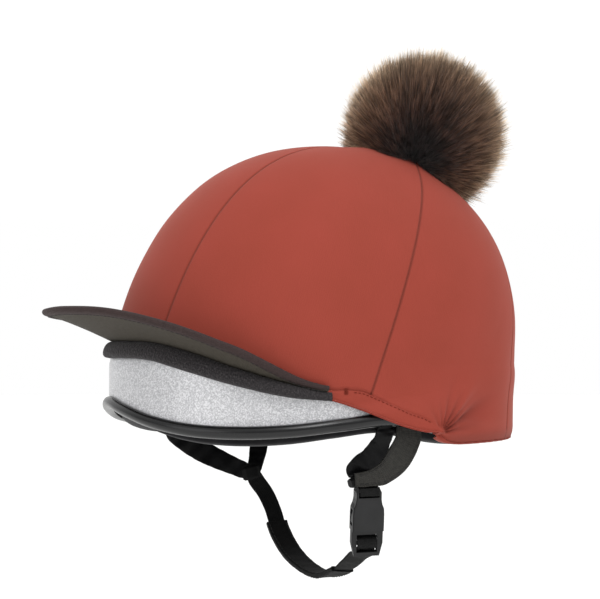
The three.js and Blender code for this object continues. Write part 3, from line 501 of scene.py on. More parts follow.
side = head["seamAngle"]
panels = {"front": (-side, side), "left_front": (side, 90), "left_rear": (90, 180 - side),
          "rear": (180 - side, 180 + side), "right_rear": (180 + side, 270), "right_front": (270, 360 - side)}
for label, (first, last) in panels.items():
    name = "cover_panel_" + label
    fine = label in ("left_rear", "right_rear")  # the two panels with the gathers
    if fine:
        down, crowded = cover["fineDown"], gatherShares(cover["fineAcross"], cover["gatherShare"])
    else:
        down, crowded = cover["down"], 0.5 - 0.5 * np.cos(np.linspace(0, np.pi, cover["across"] + 1))
    turns = first + (last - first) * crowded
    # The seams at the sides curve back a little towards the hem.
    weight = {90: crowded, 270: -crowded}.get(last, 0) + {90: 1 - crowded, 270: crowded - 1}.get(first, 0)
    bend = cover["sideBend"] * weight * np.abs(weight)
    part = 1 - np.linspace(1, 0, down + 1)[:, None] ** (cover["hemCrowding"] if fine else 1)
    lap = cover["lap"] * smoothStep(np.minimum(turns, 360 - turns), 112, 118)  # the back laps over the hem
    leans = fanStart + (fanEnd(turns + bend, lap) - fanStart) * part
    flat = layerHit(fanCentre, fanDirection(turns + bend * part ** 3, leans), 0)
    run = lengths(flat, 1)
    toSeam = np.minimum(run, run[:, -1:] - run)
    angle, height = headAngle(flat), flat[..., 2]
    toHem = np.maximum(height - readTable("coverEdge", angle), 0)
    fades = smoothStep(8 - toHem, 0, 8) * smoothStep(np.abs(angle), 112, 118)
    dip = bell(toSeam, 0, cover["seamWidth"]) * (1 - fades)
    dip += bell(toHem, 0, cover["seamWidth"]) * (1 - smoothStep(np.abs(angle), 109, 114))
    gather, paintedFoldShade = coverFolds(angle, height)
    lift = coverRipple(flat) * smoothStep(np.minimum(toSeam, toHem), 0, 12) - cover["seamDepth"] * dip + gather
    tent = cover["tentHeight"] * (np.maximum(1 - toSeam / cover["tentWidth"], 0) - 0.22)
    toButton = np.linalg.norm(flat - buttonFoot, axis=-1)
    lift += rimBulge(angle, height) + tent * (1 - smoothStep(toButton, 18, cover["tentReach"]))
    points = flat + outwardOf(flat) * lift[..., None]
    piece = gridPiece(name + "_cloth", points, gridLay(points, toSeam), inside=fanCentre, paintedFoldShade=paintedFoldShade)
    thicken(piece, head["cloth"])
    finishPiece(piece, "cover", (name,))
    stretchedSheet(piece, points)

hem = {"columns": 400, "thickness": 1.5, "tuck": 5.0}


def hemProfile(angle):  # from the seam down over the rim and under it: offsets and heights
    top, bottom, rim = (readTable(name, angle)[:, None] for name in ("coverEdge", "hemBottom", "rim"))
    low = np.minimum(bottom + 1.2, top - 0.3)
    height = top + (low - top) * np.linspace(0, 1, 22)
    offset = rimBulge(angle[:, None], height)
    tuck = hem["tuck"] * smoothStep(rim - bottom, 2.2, 3.4) + 0.3
    curl = np.linspace(0.2, 1, 8)
    roundX = offset[:, -1:] - 0.2 - np.minimum(tuck, 1.5) * (1 - np.cos(curl * np.pi / 2)) \
        - np.maximum(tuck - 1.5, 0) * smoothStep(curl, 0.45, 1)
    roundZ = low - 1.2 * np.sin(curl * np.pi / 2) + 0.6 * smoothStep(curl, 0.6, 1)
    return np.concatenate([offset, roundX], 1), np.concatenate([height, roundZ], 1)


angles = np.linspace(head["hemStart"] - 0.8, 360.8 - head["hemStart"], hem["columns"] + 1)
offsets, heights = hemProfile(angles)
spread = fromFront(angles)[:, None]
puckers = 0.3 * (np.sin(angles * 1.7) + 0.6 * np.sin(angles * 0.83 + 1))[:, None] * smoothStep(spread, 116, 128) \
    * smoothStep(readTable("rim", angles)[:, None] + 1 - heights, 0, 6)
gather, paintedFoldShade = coverFolds(spread, heights)
dip = cover["seamDepth"] * bell(heights, heights[:, :1], cover["seamWidth"]) * (1 - smoothStep(spread, 109, 114))
lapped = 0.45 * smoothStep(heights - heights[:, :1] + 1.9, 0, 0.7) * smoothStep(spread, 113, 118)
points = wallPoint(angles[:, None], offsets + gather + puckers - dip - lapped, heights)
piece = gridPiece("cover_hem_cloth", points, inside=(0, 20, -20), paintedFoldShade=paintedFoldShade)
thicken(piece, hem["thickness"])
finishPiece(piece, "hem", ("cover_hem",))
stretchedSheet(piece, points)

print("jockey cap: shell, liner and trim")

shell = {"columns": 132, "dome": 26, "wall": 22, "above": 8}


def domeGrid(offset, edge, turns, dome, wall):
    # A dome of offset layers whose columns then drop straight to the edge.
    leans = np.linspace(0, 1, dome) * fanEnd(turns, -shell["above"])[:, None]
    top = layerHit(fanCentre, fanDirection(turns[:, None], leans), offset)
    angle = headAngle(top[:, -1], offset)
    share = np.linspace(0, 1, wall + 1)[1:]
    height = top[:, -1:, 2] + (edge(angle)[:, None] - top[:, -1:, 2]) * share
    return np.concatenate([top, wallPoint(angle[:, None], offset, height)], 1)


turns = np.linspace(0, 360, shell["columns"] + 1)
outer = -head["cloth"] - head["gap"]
points = domeGrid(outer, lambda a: readTable("rim", a) + head["trimLip"] + 0.9, turns, shell["dome"], shell["wall"])
piece = gridPiece("helmet_shell_lacquered", points, gridLay(points.swapaxes(0, 1)).swapaxes(0, 1)[..., ::-1],
                  around=True, inside=fanCentre)
thicken(piece, head["shell"])
finishPiece(piece, "shell", ("helmet_shell",))

liner = {"channel": 2.2, "channelWidth": 3.0, "columns": 192}
turns = np.linspace(0, 360, liner["columns"] + 1)
linerOuter = head["shellInner"] - head["gap"]
linerInner = linerOuter - head["liner"]
inner = domeGrid(linerInner, lambda a: readTable("rim", a) - head["linerDrop"] + 2.5, turns, 44, 16)
ways = headAngle(inner)
toChannel = np.abs((ways + 22.5) % 45 - 22.5) * 1.9
sewn = np.maximum(bell(toChannel, 0, liner["channelWidth"]), bell(inner[..., 2], 22, liner["channelWidth"]))
sewn = sewn * smoothStep(np.arange(inner.shape[1]), 2, 8)
inner = inner + outwardOf(inner) * (liner["channel"] * sewn)[..., None]
ways = ways[:, -1]
drop = readTable("rim", ways) - head["linerDrop"] - 1.4
middle, half = (linerInner + linerOuter - 4.5) / 2, (linerOuter - 4.5 - linerInner) / 2
roll = np.linspace(0, np.pi, 13)[1:]
fold = wallPoint(ways[:, None], middle - half * np.cos(roll), drop[:, None] + 2.5 * (1 - np.sin(roll)))
back = wallPoint(ways[:, None], linerOuter - 4.5, drop[:, None] + np.array([6.0, 11.0]))
points = np.concatenate([inner, fold, back], 1)
piece = gridPiece("head_liner_padding", points, around=True, inside=(0, 20, 900))
thicken(piece, 2.0)
finishPiece(piece, "liner", ("head_liner",))

# The rubber profile: offset from the cover's face and height above the rim.
trim = {
    "columns": 400,
    "profile": ((-4.5, 0.6), (-3.2, 0.1), (-1.6, -0.1), (-0.4, 0.1), (0.6, 0.6), (1.4, 1.3), (2.0, 2.1),
                (2.4, 3.0), (2.5, 3.9), (2.4, 4.8), (2.05, 5.7), (1.5, 6.5), (0.7, 7.15), (-0.3, 7.45),
                (-1.2, 7.4), (-1.2, 2.2), (-4.5, 2.2)),
}
angles = np.linspace(0, 360, trim["columns"] + 1)
profile = np.array(trim["profile"] + trim["profile"][:1], float)
pressed = 1 - 0.42 * smoothStep(fromFront(angles), 116, 132)[:, None]  # by the cover at the back
outs = np.where(profile[:, 0] > 0, profile[:, 0] * pressed, profile[:, 0])
points = wallPoint(angles[:, None], outs, readTable("rim", angles)[:, None] + profile[:, 1])
piece = gridPiece("rim_trim_rubber", points, around=True, closed=True)
finishPiece(piece, "trim", ("rim_trim",), sharp=60)

print("jockey cap: peak and front band")

peak = {"thickness": 2.4, "columns": 240, "rows": 14, "inset": 0.2, "bindingGrip": 3.4, "bindingHalf": 2.15}


def peakSpan(angle):  # how far the peak reaches out and up
    end = smoothStep(np.abs(angle), 60, 87)
    return ((readTable("peakDepth", angle) - peak["inset"]) * (1 - 0.45 * end),
            readTable("peakRise", angle) * (1 - 0.72 * end))


def peakPoint(angle, share, lift):
    depth, rise = peakSpan(angle)
    along = np.hypot(depth, rise)
    level = readTable("coverEdge", angle)
    start = wallPoint(angle, peak["inset"], np.maximum(level, 0))
    start = np.concatenate([start[..., :2], (level + 0 * start[..., 0])[..., None]], -1)
    out = depth * share - lift * rise / along
    up = rise * share + np.sin(np.pi * np.clip(share, 0, 1)) * depth * 0.02 + lift * depth / along
    return start + outwardAt(angle) * out[..., None] + np.stack([0 * up, 0 * up, up], -1)


angles = np.linspace(-head["peakEnd"] - 1, head["peakEnd"] + 1, peak["columns"] + 1)[:, None]
rows = np.concatenate([np.linspace(0, 1, peak["rows"]), np.linspace(1, 0, peak["rows"])])
lifts = np.repeat([peak["thickness"] / 2, -peak["thickness"] / 2], peak["rows"])
points = peakPoint(*np.broadcast_arrays(angles, rows, lifts))
points = np.concatenate([points, points[:, :1]], 1)
piece = gridPiece("peak_board", points, closed=True, caps=True)
finishPiece(piece, "peak", ("peak",), sharp=50)

# The tape folds over the edge: a flattened round that grips the board.
half, grip = peak["bindingHalf"], peak["bindingGrip"]
bend = np.linspace(-np.pi / 2, np.pi / 2, 13)
outline = [(-grip, -half + 0.5), (-grip + 0.5, -half), (-0.6, -half)]
outline += [(-0.2 + 2.4 * math.cos(a), half * math.sin(a)) for a in bend]
outline += [(-0.6, half), (-grip + 0.5, half), (-grip, half - 0.5), (-grip, 0)]
outline = np.array(outline + outline[:1], float)
outline = outline[None] * (1 - 0.45 * smoothStep(np.abs(angles), 70, 87))[..., None]
points = peakPoint(angles + 0 * outline[..., 0], 1 + outline[..., 0] / peakSpan(angles)[0], outline[..., 1])
piece = gridPiece("peak_binding_tape", points, closed=True, caps=True)
finishPiece(piece, "binding", ("peak_binding",), sharp=50)

band = {
    "columns": 300,
    "profile": ((-1.2, 0), (0.6, 0), (1.9, 0.07), (3.0, 0.18), (3.8, 0.3), (4.3, 0.42), (4.5, 0.54), (4.4, 0.66),
                (4.0, 0.78), (3.2, 0.89), (1.9, 0.97), (0.4, 1.0), (-1.2, 1.0), (-1.2, 0.5)),
}
profile = np.array(band["profile"] + band["profile"][:1], float)
angles = np.linspace(-head["peakEnd"] - 2.2, head["peakEnd"] + 2.2, band["columns"] + 1)[:, None]
top = readTable("coverEdge", angles) - 1.3
low = readTable("bandBottom", angles)
end = smoothStep(np.abs(angles), 60, 87)
slope = readTable("peakRise", angles) * (1 - 0.72 * end) / (readTable("peakDepth", angles) * (1 - 0.45 * end))
out, down = profile.T
out = out * np.where(out > 0, 1 + 0.25 * smoothStep(np.abs(angles), 30, 60)
                     - 0.75 * smoothStep(np.abs(angles), 74, 88), 1)
raised = np.maximum(out, 0) * slope * (1 - smoothStep(down, 0.15, 0.8)) * 0.9
points = wallPoint(angles, out, top + (low - top) * down + raised)
piece = gridPiece("front_band_knit", points, closed=True, caps=True)
finishPiece(piece, "band", ("front_band",), sharp=60)

print("jockey cap: harness")


def curvePoint(points, t):  # a centripetal curve through the points
    last = len(points) - 1
    i = min(int(t * last), last - 1)
    w = t * last - i
    p0, p1, p2, p3 = np.vstack([2 * points[0] - points[1], points, 2 * points[-1] - points[-2]])[i:i + 4]
    d0, d1, d2 = (max(np.linalg.norm(b - a), 1e-4) ** 0.5 for a, b in ((p0, p1), (p1, p2), (p2, p3)))
    s1 = ((p1 - p0) / d0 - (p2 - p0) / (d0 + d1) + (p2 - p1) / d1) * d1
    s2 = ((p2 - p1) / d1 - (p3 - p1) / (d1 + d2) + (p3 - p2) / d2) * d1
    return p1 + s1 * w + (3 * (p2 - p1) - 2 * s1 - s2) * w * w + (2 * (p1 - p2) + s1 + s2) * w ** 3


def strapFrames(stations, pieces, first=0.0, last=1.0):
    # Places along a strap with their run, width and thickness directions and sizes.
    points = np.array([s["at"] for s in stations], float)
    count = len(points) - 1

    def tangent(t):
        low, high = max(t - 1e-4, 0), min(t + 1e-4, 1)
        return unit(curvePoint(points, high) - curvePoint(points, low))

    across = []
    for i, s in enumerate(stations):
        run = tangent(i / count)
        if s["across"] is not None:
            across.append(s["across"])
        else:
            facing = np.array(s["facing"], float)
            across.append(np.cross(unit(facing - run * facing.dot(run)), run))
    frames = []
    for t in np.linspace(first, last, pieces + 1):
        i = min(int(t * count), count - 1)
        share = float(smoothStep(t * count - i, 0, 1))
        run = tangent(t)
        wide = across[i] * (1 - share) + across[i + 1] * share
        wide = unit(wide - run * wide.dot(run))
        size = [stations[i][k] * (1 - share) + stations[i + 1][k] * share for k in ("width", "thickness")]
        frames.append((curvePoint(points, t), run, wide, np.cross(run, wide), size[0], size[1]))
    return frames


def strapPiece(name, frames, crinkle=0.0, corner=0.35, seed=0.0, piped=0.0):
    # A flat section with round sides, and piped edges where a tape has them.
    turn = np.linspace(0, 2 * np.pi, 49)
    us = np.sign(np.cos(turn)) * np.abs(np.cos(turn)) ** corner * 0.5
    vs = np.sign(np.sin(turn)) * np.abs(np.sin(turn)) ** (corner * 0.8) * 0.5
    vs = vs * (1 + piped * bell(np.abs(us), 0.46, 0.035))
    rows, along = [], 0.0
    for k, (at, run, wide, thick, width, thickness) in enumerate(frames):
        along += np.linalg.norm(at - frames[k - 1][0]) if k else 0
        wave = (np.sin(along * 0.55 + us * 3.1 + seed) + 0.7 * np.sin(along * 1.13 - us * 4.2 + 2 * seed)
                + 0.5 * np.sin(along * 2.1 + us * 7.0 + 3 * seed)) * crinkle
        rows.append(at + np.outer(us * width * (1 + crinkle * 0.04 * math.sin(along * 0.8 + seed)), wide)
                    + np.outer(vs * thickness + wave, thick))
    return gridPiece(name, np.array(rows), closed=True, caps=True)


def stitchRow(name, places, runs, ups, finish, slot, length=2.4, wide=0.55, high=0.35):
    # Short sewn stitches: each a low rounded bar lying along its row.
    vertices, faces = [], []
    for at, run, up, side in zip(places, runs, ups, unit(np.cross(ups, runs))):
        base = len(vertices)
        vertices += [(at + run * share * length + (side * u * wide + up * v * high) * swell) / 1000
                     for share, swell in ((-0.5, 0.35), (-0.3, 0.95), (0.3, 0.95), (0.5, 0.35))
                     for u, v in ((-0.5, 0), (-0.3, 0.8), (0.3, 0.8), (0.5, 0), (0, -0.5))]
        faces += [(k + j, k + (j + 1) % 5, k + (j + 1) % 5 + 5, k + j + 5)
                  for k in range(base, base + 15, 5) for j in range(5)]
        faces += [range(base + 4, base - 1, -1), range(base + 15, base + 20)]
    mesh = bpy.data.meshes.new(name)
    mesh.from_pydata([tuple(v) for v in vertices], [], [tuple(f) for f in faces])
    mesh.shade_smooth()
    finishPiece(placed(name, mesh), finish)


def strapStitches(name, frames, inset, labels, step=3.4):  # a row along each edge, on both faces
    gone = lengths(np.array([f[0] for f in frames]))
    for face, label in zip((1.0, -1.0), labels):
        rows = []
        for edge in (1, -1):
            for s in np.arange(2.0, gone[-1] - 1.5, step):
                at, run, wide, thick, width, thickness = frames[min(int(np.searchsorted(gone, s)), len(frames) - 1)]
                at = at + wide * edge * (width / 2 - inset) + thick * face * (thickness / 2 + 0.1)
                rows.append((at, run, thick * face))
        stitchRow(f"{name}_stitches_{label}", *zip(*rows), "thread", "webbing")


harness = {"width": 14, "thickness": 1.6, "chin": 11.5, "padWidth": 14.8, "padThickness": 3.2, "reachInside": 5}


def station(at, facing, width=None, thickness=None, across=None):
    return {"at": at, "facing": facing, "width": width or harness["width"],
            "thickness": thickness or harness["thickness"], "across": across}


def pocketEnd(inside, below, width):
    offset = head["shellInner"] - head["gap"] - harness["thickness"] / 2 - head["strapSlack"]
    middle = (inside + below) / 2
    return [station(wallPoint(a, offset, readTable("rim", a) + h), outwardAt(np.float64(a)), width)
            for a, h in ((inside, harness["reachInside"]), (middle, 0.5), (below, -head["linerDrop"] - 2.5))]


rightJoint = np.array([-85, 4, -77.0])
# Each branch: its end in the pocket, its stations below, its finish, how crinkled it is and its seed.
branches = (
    ("left_front_strap", (103.4, 102.4, 11), (
        ((92, 26.5, -53.5), (0.8, -0.6, 0), 12), ((86.9, 18.6, -61), (1, -0.1, -0.1), 11.5),
        ((86.2, 19, -65.6), (1, 0, 0), 9)), "satin", 0.3, 1.0),
    ("left_rear_strap", (109.6, 109, 17.5), (
        ((94.5, 42, -55), (1, 0.1, -0.1), 17), ((92.8, 33.5, -63.5), (1, 0, 0), 13),
        ((91.5, 24, -66.4), (1, 0, 0), 9), ((91.8, 16.5, -67), (1, 0, 0), 8)), "tape", 0.06, 2.0),
    ("right_front_strap", (-57, -61, 13), (
        ((-92, -30, -61.5), (-1, -0.2, 0), 15), ((-86, -3.2, -74.3), (-1, 0, 0), 12),
        ((-85.2, 4, -77), (-1, 0, 0), 9)), "satin", 0.3, 3.0),
    ("right_rear_strap", (-100, -97, 14), (
        ((-91, 11, -60), (-1, 0, 0), 13), ((-86.5, 7.3, -71.2), (-1, 0, 0), 11),
        ((-85, 4.8, -76.5), (-1, 0, 0), 10)), "satin", 0.2, 4.0),
)
for name, pocket, stations, finish, crinkle, seed in branches:
    frames = strapFrames(pocketEnd(*pocket) + [station(*row) for row in stations], 60)
    piece = strapPiece(name + "_webbing", frames, crinkle, seed=seed, piped=0.9 if finish == "tape" else 0.0)
    finishPiece(piece, finish, (name,))
    if finish == "tape":
        strapStitches(name, frames, 1.6, ("inner", "outer"))

buckle = {"top": np.array([85.2, 26.7, -71.6]), "socket": 26.5, "plug": 15.5, "plugThickness": 4, "lower": 10.8,
          "upper": 4.6, "ladder": 1.3, "loopRise": 1.2, "loopDrop": 3.9, "thickness": 8}
buckleRun = unit(np.array([-0.22, 0.05, -0.975]))
buckleAcross = np.array([0.12, 0.992, 0])
buckleAcross = unit(buckleAcross - buckleRun * buckleAcross.dot(buckleRun))
buckleOut = np.cross(buckleAcross, -buckleRun)


def onBuckle(v, w):
    return buckle["top"] - buckleRun * v + buckleOut * w


gap = head["gap"]
plugTop, plugFace = -buckle["socket"] - gap, buckle["plugThickness"] / 2
overBar = plugFace + buckle["ladder"] / 2 + 2.2 * gap
between = (buckle["lower"] + buckle["upper"]) / 2
ladder = ((plugTop - buckle["plug"] - 2, -overBar - 2.2), (plugTop - buckle["plug"] + 1.2, -overBar),
          (plugTop - buckle["lower"] - 0.9, -plugFace), (plugTop - buckle["lower"] + 0.9, plugFace),
          (plugTop - between, overBar), (plugTop - buckle["upper"] - 0.9, plugFace),
          (plugTop - buckle["upper"] + 0.9, -plugFace), (plugTop - buckle["upper"] / 2 + 1.6, -overBar))
overSocket = buckle["thickness"] / 2 + 0.5 + harness["thickness"] / 2 + 2 * gap
rise, drop = buckle["loopRise"], buckle["loopDrop"]
loop = ((rise, overSocket), (-0.6, overSocket), (0.9 - drop, overSocket - 0.2), (-drop, overSocket * 0.7),
        (-drop, -overSocket * 0.7), (0.9 - drop, 0.2 - overSocket), (-0.6, -overSocket), (rise, -overSocket))
frames = strapFrames([station(onBuckle(v, w), buckleOut, harness["chin"], None, -buckleAcross) for v, w in loop], 90)
piece = strapPiece("buckle_loop_webbing", frames, 0.04, seed=5.0)
finishPiece(piece, "webbing", ("buckle_loop",))

chin = [station(*row) for row in (
    (rightJoint + (0.4, 1.4, -1.0), (-1, 0, -0.1), 10.5), (rightJoint + (1.2, 3.6, -5.5), (-1, 0, -0.1), 11.5),
    ((-79.5, 12.5, -90.5), (-1, 0, -0.2), 11.5), ((-71, 15.5, -101), (-0.9, 0, -0.4), 11.5),
    ((-59, 17, -115), (-0.8, 0, -0.6), 11.5), ((-42, 20, -127), (-0.5, 0, -0.8), 11.5),
    ((-18, 23.5, -134), (-0.2, 0, -1), 11.5), ((5, 27, -135.5), (0, 0, -1), 11.5),
    ((27, 30, -129.5), (0.2, -0.08, -1), 11.5), ((46, 30.5, -121.5), (0.5, -0.2, -0.8), 12),
    ((60, 30.5, -115), (0.65, -0.25, -0.65), 12),
)] + [station(onBuckle(v, w), buckleOut, 12.1, buckle["ladder"], -buckleAcross) for v, w in ladder]
piece = strapPiece("chin_strap_webbing", strapFrames(chin, 200), 0.05, seed=6.0)
finishPiece(piece, "webbing", ("chin_strap",))
for s in chin:
    s["width"], s["thickness"] = harness["padWidth"], harness["padThickness"]
padFrames = strapFrames(chin, 90, 3.6 / 18, 8.2 / 18)
piece = strapPiece("chin_pad_sleeve", padFrames, 0.07, corner=0.28, seed=7.0)
finishPiece(piece, "webbing")
strapStitches("chin_pad", padFrames, 1.5, ("outer", "inner"))

for name, finish, slot, width in (("buckle_socket", "nylon", "buckle", 0.9), ("buckle_plug", "nylon", "buckle", 0.6),
                                  ("left_strap_joint", "keeper", "webbing", 1.4),
                                  ("right_strap_joint", "keeper", "webbing", 1.4)):
    part = nodes[name]
    part.data.materials.clear()
    part.data.materials.append(finishes[finish])
    soften(part, width)

print("jockey cap: pompom")

pompom = {
    "back": 19, "up": 22, "radius": 56.0, "fan": (0, -8.0, -19.0), "rootRadius": 6.0, "coreRadius": 33.0,
    "flatten": 0.66, "rim": 55.0, "tufts": 3200, "clump": 0.5, "hairsPerPiece": 26500, "pieces": 4,
    "width": 0.4, "guardShare": 0.45, "wisp": 0.12, "paintedShadeAxis": (0.9502, -0.3087, -0.0436),
}
random = np.random.default_rng(20)
ballCentre = buttonFoot + np.array([0, pompom["back"], pompom["up"]])
fanRoot = ballCentre + np.array(pompom["fan"])
paintedShadeAxis = np.array(pompom["paintedShadeAxis"])  # painted shade: the fur is drawn darkest round this line through its base, on either side, where the pile is seen end on


def spiralDirections(count):
    k = np.arange(count) + 0.5
    z = 1 - 2 * k / count
    turn = k * math.pi * (3 - math.sqrt(5))
    ring = np.sqrt(1 - z * z)
    return np.stack([ring * np.cos(turn), ring * np.sin(turn), z], -1)


def acrossShadeAxis(points):
    return points - np.sum(points * paintedShadeAxis, -1, keepdims=True) * paintedShadeAxis


def rimShare(points):  # how far a point is, across the painted-shade axis, from the fur's base towards the rim: 0 to 1
    spread, eye = acrossShadeAxis(points - fanRoot), acrossShadeAxis(fanRoot - ballCentre)
    gone = np.maximum(np.linalg.norm(spread, axis=-1), 1e-6)
    lean = np.sum(spread * eye, -1) / gone
    return gone / (-lean + np.sqrt(lean ** 2 + pompom["rim"] ** 2 - eye @ eye))


def clearOfCrown(points):  # keeps the fur off the cloth
    level = layerLevel(points, 2.0)
    push = np.maximum(1.0 - level, 0)[..., None]
    return points + (points - fanCentre) * push


coreTurns, coreLeans = np.meshgrid(np.linspace(0, 2 * np.pi, 65), np.linspace(0, np.pi, 33), indexing="ij")
ways = np.stack([np.sin(coreLeans) * np.cos(coreTurns), np.sin(coreLeans) * np.sin(coreTurns), np.cos(coreLeans)], -1)
lumps = 1 + 0.05 * np.sin(7 * coreTurns + 5 * coreLeans) * np.sin(coreLeans) + 0.04 * np.sin(9 * coreLeans)
points = clearOfCrown(ballCentre + ways * (pompom["coreRadius"] * lumps)[..., None])
lay = np.stack([0.3 + 0.2 * np.sin(coreTurns * 9), 0.5 + 0.4 * np.cos(coreLeans)], -1)
piece = gridPiece("pompom_core_wool", points, lay, around=True, inside=ballCentre)
finishPiece(piece, "furCore", ("pompom",))

tuftWays = unit(spiralDirections(pompom["tufts"]) + random.normal(0, 0.05, (pompom["tufts"], 3)))
tuftTint = random.beta(0.8, 2.4, pompom["tufts"])
tuftLong = random.normal(0, 0.022, pompom["tufts"])
along = np.array([0.4, 0.65, 0.86, 1.0])
for number in range(pompom["pieces"]):
    count = pompom["hairsPerPiece"]
    way = unit(random.normal(0, 1, (count, 3)))
    tuft = np.concatenate([(block @ tuftWays.T).argmax(1) for block in np.array_split(way, 24)])
    tipWay = unit(way + pompom["clump"] * (tuftWays[tuft] - way) + random.normal(0, 0.022, (count, 3)))
    guard = random.random(count) < pompom["guardShare"]
    longer = np.where(guard, 0.965 + random.normal(0, 0.018, count), 0.96 - 0.2 * random.random(count) ** 1.3)
    longer = longer + tuftLong[tuft] + guard * pompom["wisp"] * random.random(count) ** 5
    tip = ballCentre + tipWay * (pompom["radius"] * longer)[:, None]
    root = fanRoot + unit(tip - fanRoot) * pompom["rootRadius"]
    # Each hair leaves the base and bends over a little, so that its outer part lies along the ball.
    through = tip - fanRoot
    outwards = tipWay * np.sum(through * tipWay, 1, keepdims=True)
    last = unit(through - outwards + pompom["flatten"] * outwards + random.normal(0, 2.0, (count, 3)))
    elbow = tip - last * (0.5 * np.linalg.norm(tip - root, axis=1, keepdims=True))
    t = along[None, :, None]
    line = root[:, None] * (1 - t) ** 2 + elbow[:, None] * 2 * t * (1 - t) + tip[:, None] * t ** 2
    line = clearOfCrown(line)
    side = unit(np.cross(unit(tip - root), unit(random.normal(0, 1, (count, 3)))))
    widths = pompom["width"] * np.array([1.05, 1.0, 0.7])
    ribbon = line[:, :3, None] + side[:, None, None] * widths[:, None, None] * np.array([[-0.5], [0.5]])
    vertices = np.concatenate([ribbon.reshape(count, 6, 3), line[:, 3:]], 1).reshape(-1, 3)
    base = (np.arange(count) * 7)[:, None]
    quads = np.array([[0, 1, 3, 2], [2, 3, 5, 4]])
    corners = np.concatenate([(base[:, None] + quads[None]).reshape(count, 8), base + np.array([[4, 5, 6]])], 1)
    name = f"pompom_fur_{number + 1}"
    mesh = bpy.data.meshes.new(name)
    mesh.vertices.add(len(vertices))
    mesh.vertices.foreach_set("co", (vertices / 1000).astype(np.float32).ravel())
    mesh.loops.add(corners.size)
    mesh.loops.foreach_set("vertex_index", corners.astype(np.int32).ravel())
    mesh.polygons.add(count * 3)
    starts = (np.arange(count) * 11)[:, None] + np.array([[0, 4, 8]])
    mesh.polygons.foreach_set("loop_start", starts.astype(np.int32).ravel())
    bleached = random.random(count) < 0.2
    tint = np.clip(tuftTint[tuft] * 0.75 + random.beta(1.2, 5.0, count) * 0.45 + 0.6 * bleached - 0.12 * ~guard, 0, 1)
    # Painted shade: each hair is drawn darker near the axis through the base, where the pile is seen end on and
    # shades itself, and lighter towards the rim; the guard hairs' tips are paler still.
    share = rimShare(line) * (0.8 + 0.2 * along[None, :])
    share = np.clip(share + guard[:, None] * np.array([0, 0.01, 0.04, 0.12])[None], 0, 1)
    share = np.concatenate([np.repeat(share[:, :3], 2, 1), share[:, 3:]], 1)
    pointLay = np.stack([np.repeat(tint[:, None], 7, 1), share], -1).reshape(-1, 2)
    mesh.uv_layers.new(name="UVMap").data.foreach_set("uv", pointLay[corners.ravel()].astype(np.float32).ravel())
    mesh.update(calc_edges=True)
    mesh.shade_smooth()
    finishPiece(placed(name, mesh), "fur")

print("jockey cap: button and stitches")

button = {"radius": 9, "height": 3.4}
turns, shares = np.meshgrid(np.linspace(0, 2 * np.pi, 49), np.linspace(0, 1, 13), indexing="ij")
ring = button["radius"] * np.sin(shares * np.pi / 2)
rise = button["height"] * np.cos(shares * np.pi / 2)
points = (buttonFoot + ring[..., None] * np.cos(turns)[..., None] * buttonFront
          + ring[..., None] * np.sin(turns)[..., None] * np.array([1.0, 0, 0]) + rise[..., None] * buttonUp)
piece = gridPiece("pompom_button_cloth", points, around=True, inside=buttonFoot - buttonUp * 5)
thicken(piece, 1.0)
finishPiece(piece, "hem", ("pompom_button",))


def rowAlong(points, step):  # even places along a line, with the way it runs
    gone = lengths(points)
    where = np.arange(step, gone[-1] - step / 2, step)
    places = np.stack([np.interp(where, gone, points[:, k]) for k in range(3)], -1)
    ahead = np.stack([np.interp(where + 0.5, gone, points[:, k]) for k in range(3)], -1)
    return places, unit(ahead - places)


for side, name in ((1, "left"), (-1, "right")):
    angles = np.linspace(93.2, 112, 300)
    heights = readTable("coverEdge", angles) - 1.1
    offsets = rimBulge(angles, heights) + coverFolds(angles, heights)[0]
    places, runs = rowAlong(wallPoint(side * angles, offsets, heights), 2.6)
    stitchRow(f"hem_stitches_{name}", places, runs, outwardAt(headAngle(places)), "redThread", "cover",
              length=1.7, wide=0.5, high=0.3)
    heights = readTable("coverEdge", 92.0) - 0.8 + np.linspace(-1.2, 1.2, 4)
    places = wallPoint(side * 92.0 + 0 * heights, 0.2, heights)
    ups = outwardAt(headAngle(places))
    runs = unit(np.cross(np.array([0, 0, 1.0]), ups))
    stitchRow(f"bar_tack_{name}", places, runs, ups, "redThread", "cover", length=2.6, wide=0.45, high=0.35)

angles = np.linspace(-head["peakEnd"] + 1, head["peakEnd"] - 1, 700)
for lift, name in ((peak["bindingHalf"], "top"), (-peak["bindingHalf"], "under")):
    share = 1 - (peak["bindingGrip"] - 1.0) / (readTable("peakDepth", angles) - peak["inset"])
    line = peakPoint(angles, share, lift + 0 * angles)
    places, runs = rowAlong(line, 3.0)
    outs = outwardAt(headAngle(places))
    ups = unit(np.cross(outs, runs))
    ups *= np.sign(ups[:, 2:3] * lift)
    stitchRow(f"binding_stitches_{name}", places, runs, ups, "thread", "peak_cloth", length=2.1, wide=0.5, high=0.3)

print("jockey cap: studio")

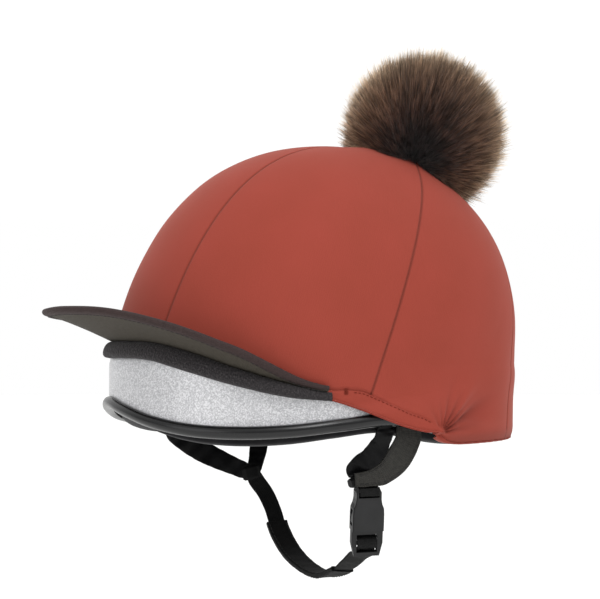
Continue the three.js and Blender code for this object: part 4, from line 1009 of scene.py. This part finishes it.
studio = {"floor": -420, "rings": (0, 1000, 14000)}
turns, rings = np.meshgrid(np.linspace(0, 2 * np.pi, 97), studio["rings"], indexing="ij")
points = np.stack([rings * np.cos(turns), rings * np.sin(turns), studio["floor"] + 0 * rings], -1)
floor = gridPiece("paperFloor", points, around=True, inside=(0, 0, -900))
material, add = newFinish("studioPaper", 0.9)
shade = add("ValToRGB", {0: add("TexNoise", {"Scale": 30.0})}, ((0.0, "#fcfcfb"), (1.0, "#fefefd")))
floor.data.materials.append(dress(material, shade.outputs[0]))
floor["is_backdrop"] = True

lights = (  # place, aim, size across and power in watts
    ("softboxAbove", (0.5, 0.3, 1.5), (0, 0.02, 0.03), 1.2, 3.0),
    ("softboxKey", (1.3, 0.1, 1.25), (0, 0.02, 0.0), 0.7, 12.5),
    ("softboxFront", (0.7, -1.6, 0.4), (0, 0.02, 0.0), 1.2, 5.0),
)
for name, place, aim, size, power in lights:
    data = bpy.data.lights.new(name, "AREA")
    data.shape, data.size, data.energy = "DISK", size, power
    lamp = placed(name, data)
    lamp.location = place
    lamp.rotation_euler = (Vector(aim) - Vector(place)).to_track_quat("-Z", "Y").to_euler()

world = bpy.data.worlds.new("studioLight")
world.use_nodes = True
background = world.node_tree.nodes["Background"]
add = partial(addNode, world.node_tree)
# White behind the cap and overhead, and dimmer where the room lies behind the photographer.
way = add("TexCoord")
toRoom = add("VectorMath", {0: way, 1: (0.95, -0.309, 0.0)}, operation="DOT_PRODUCT")
room = add("MapRange", {"Value": toRoom.outputs["Value"], "From Min": -0.8, "From Max": 0.1,
                        "To Min": 1.0, "To Max": 0.5})
height = add("SeparateXYZ", {0: way})
overhead = add("MapRange", {"Value": height.outputs["Z"], "From Min": 0.1, "From Max": 1.0,
                            "To Min": 0.0, "To Max": 0.75})
both = add("Math", {0: room, 1: overhead}, operation="ADD")
background.inputs["Color"].default_value = (1.0, 1.0, 1.0, 1.0)
world.node_tree.links.new(both.outputs[0], background.inputs["Strength"])
bpy.context.scene.world = world
bpy.context.scene.view_settings.view_transform = "Standard"

camera = {"at": (0.81303, -0.25165, 0.00444), "lens": 79.07, "right": (0.309, 0.9511, 0.0),
          "up": (0.0415, -0.0135, 0.99905), "back": (0.9502, -0.3087, -0.0436)}
data = bpy.data.cameras.new("photoCamera")
data.lens, data.sensor_width = camera["lens"], 36.0
data.clip_start, data.clip_end = 0.05, 60.0
shot = placed("photoCamera", data)
shot.matrix_world = Matrix([*zip(camera["right"], camera["up"], camera["back"], camera["at"]), (0, 0, 0, 1)])
bpy.context.scene.camera = shot

low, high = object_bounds()
print("jockey cap: sheets cut to", sheetSizes)
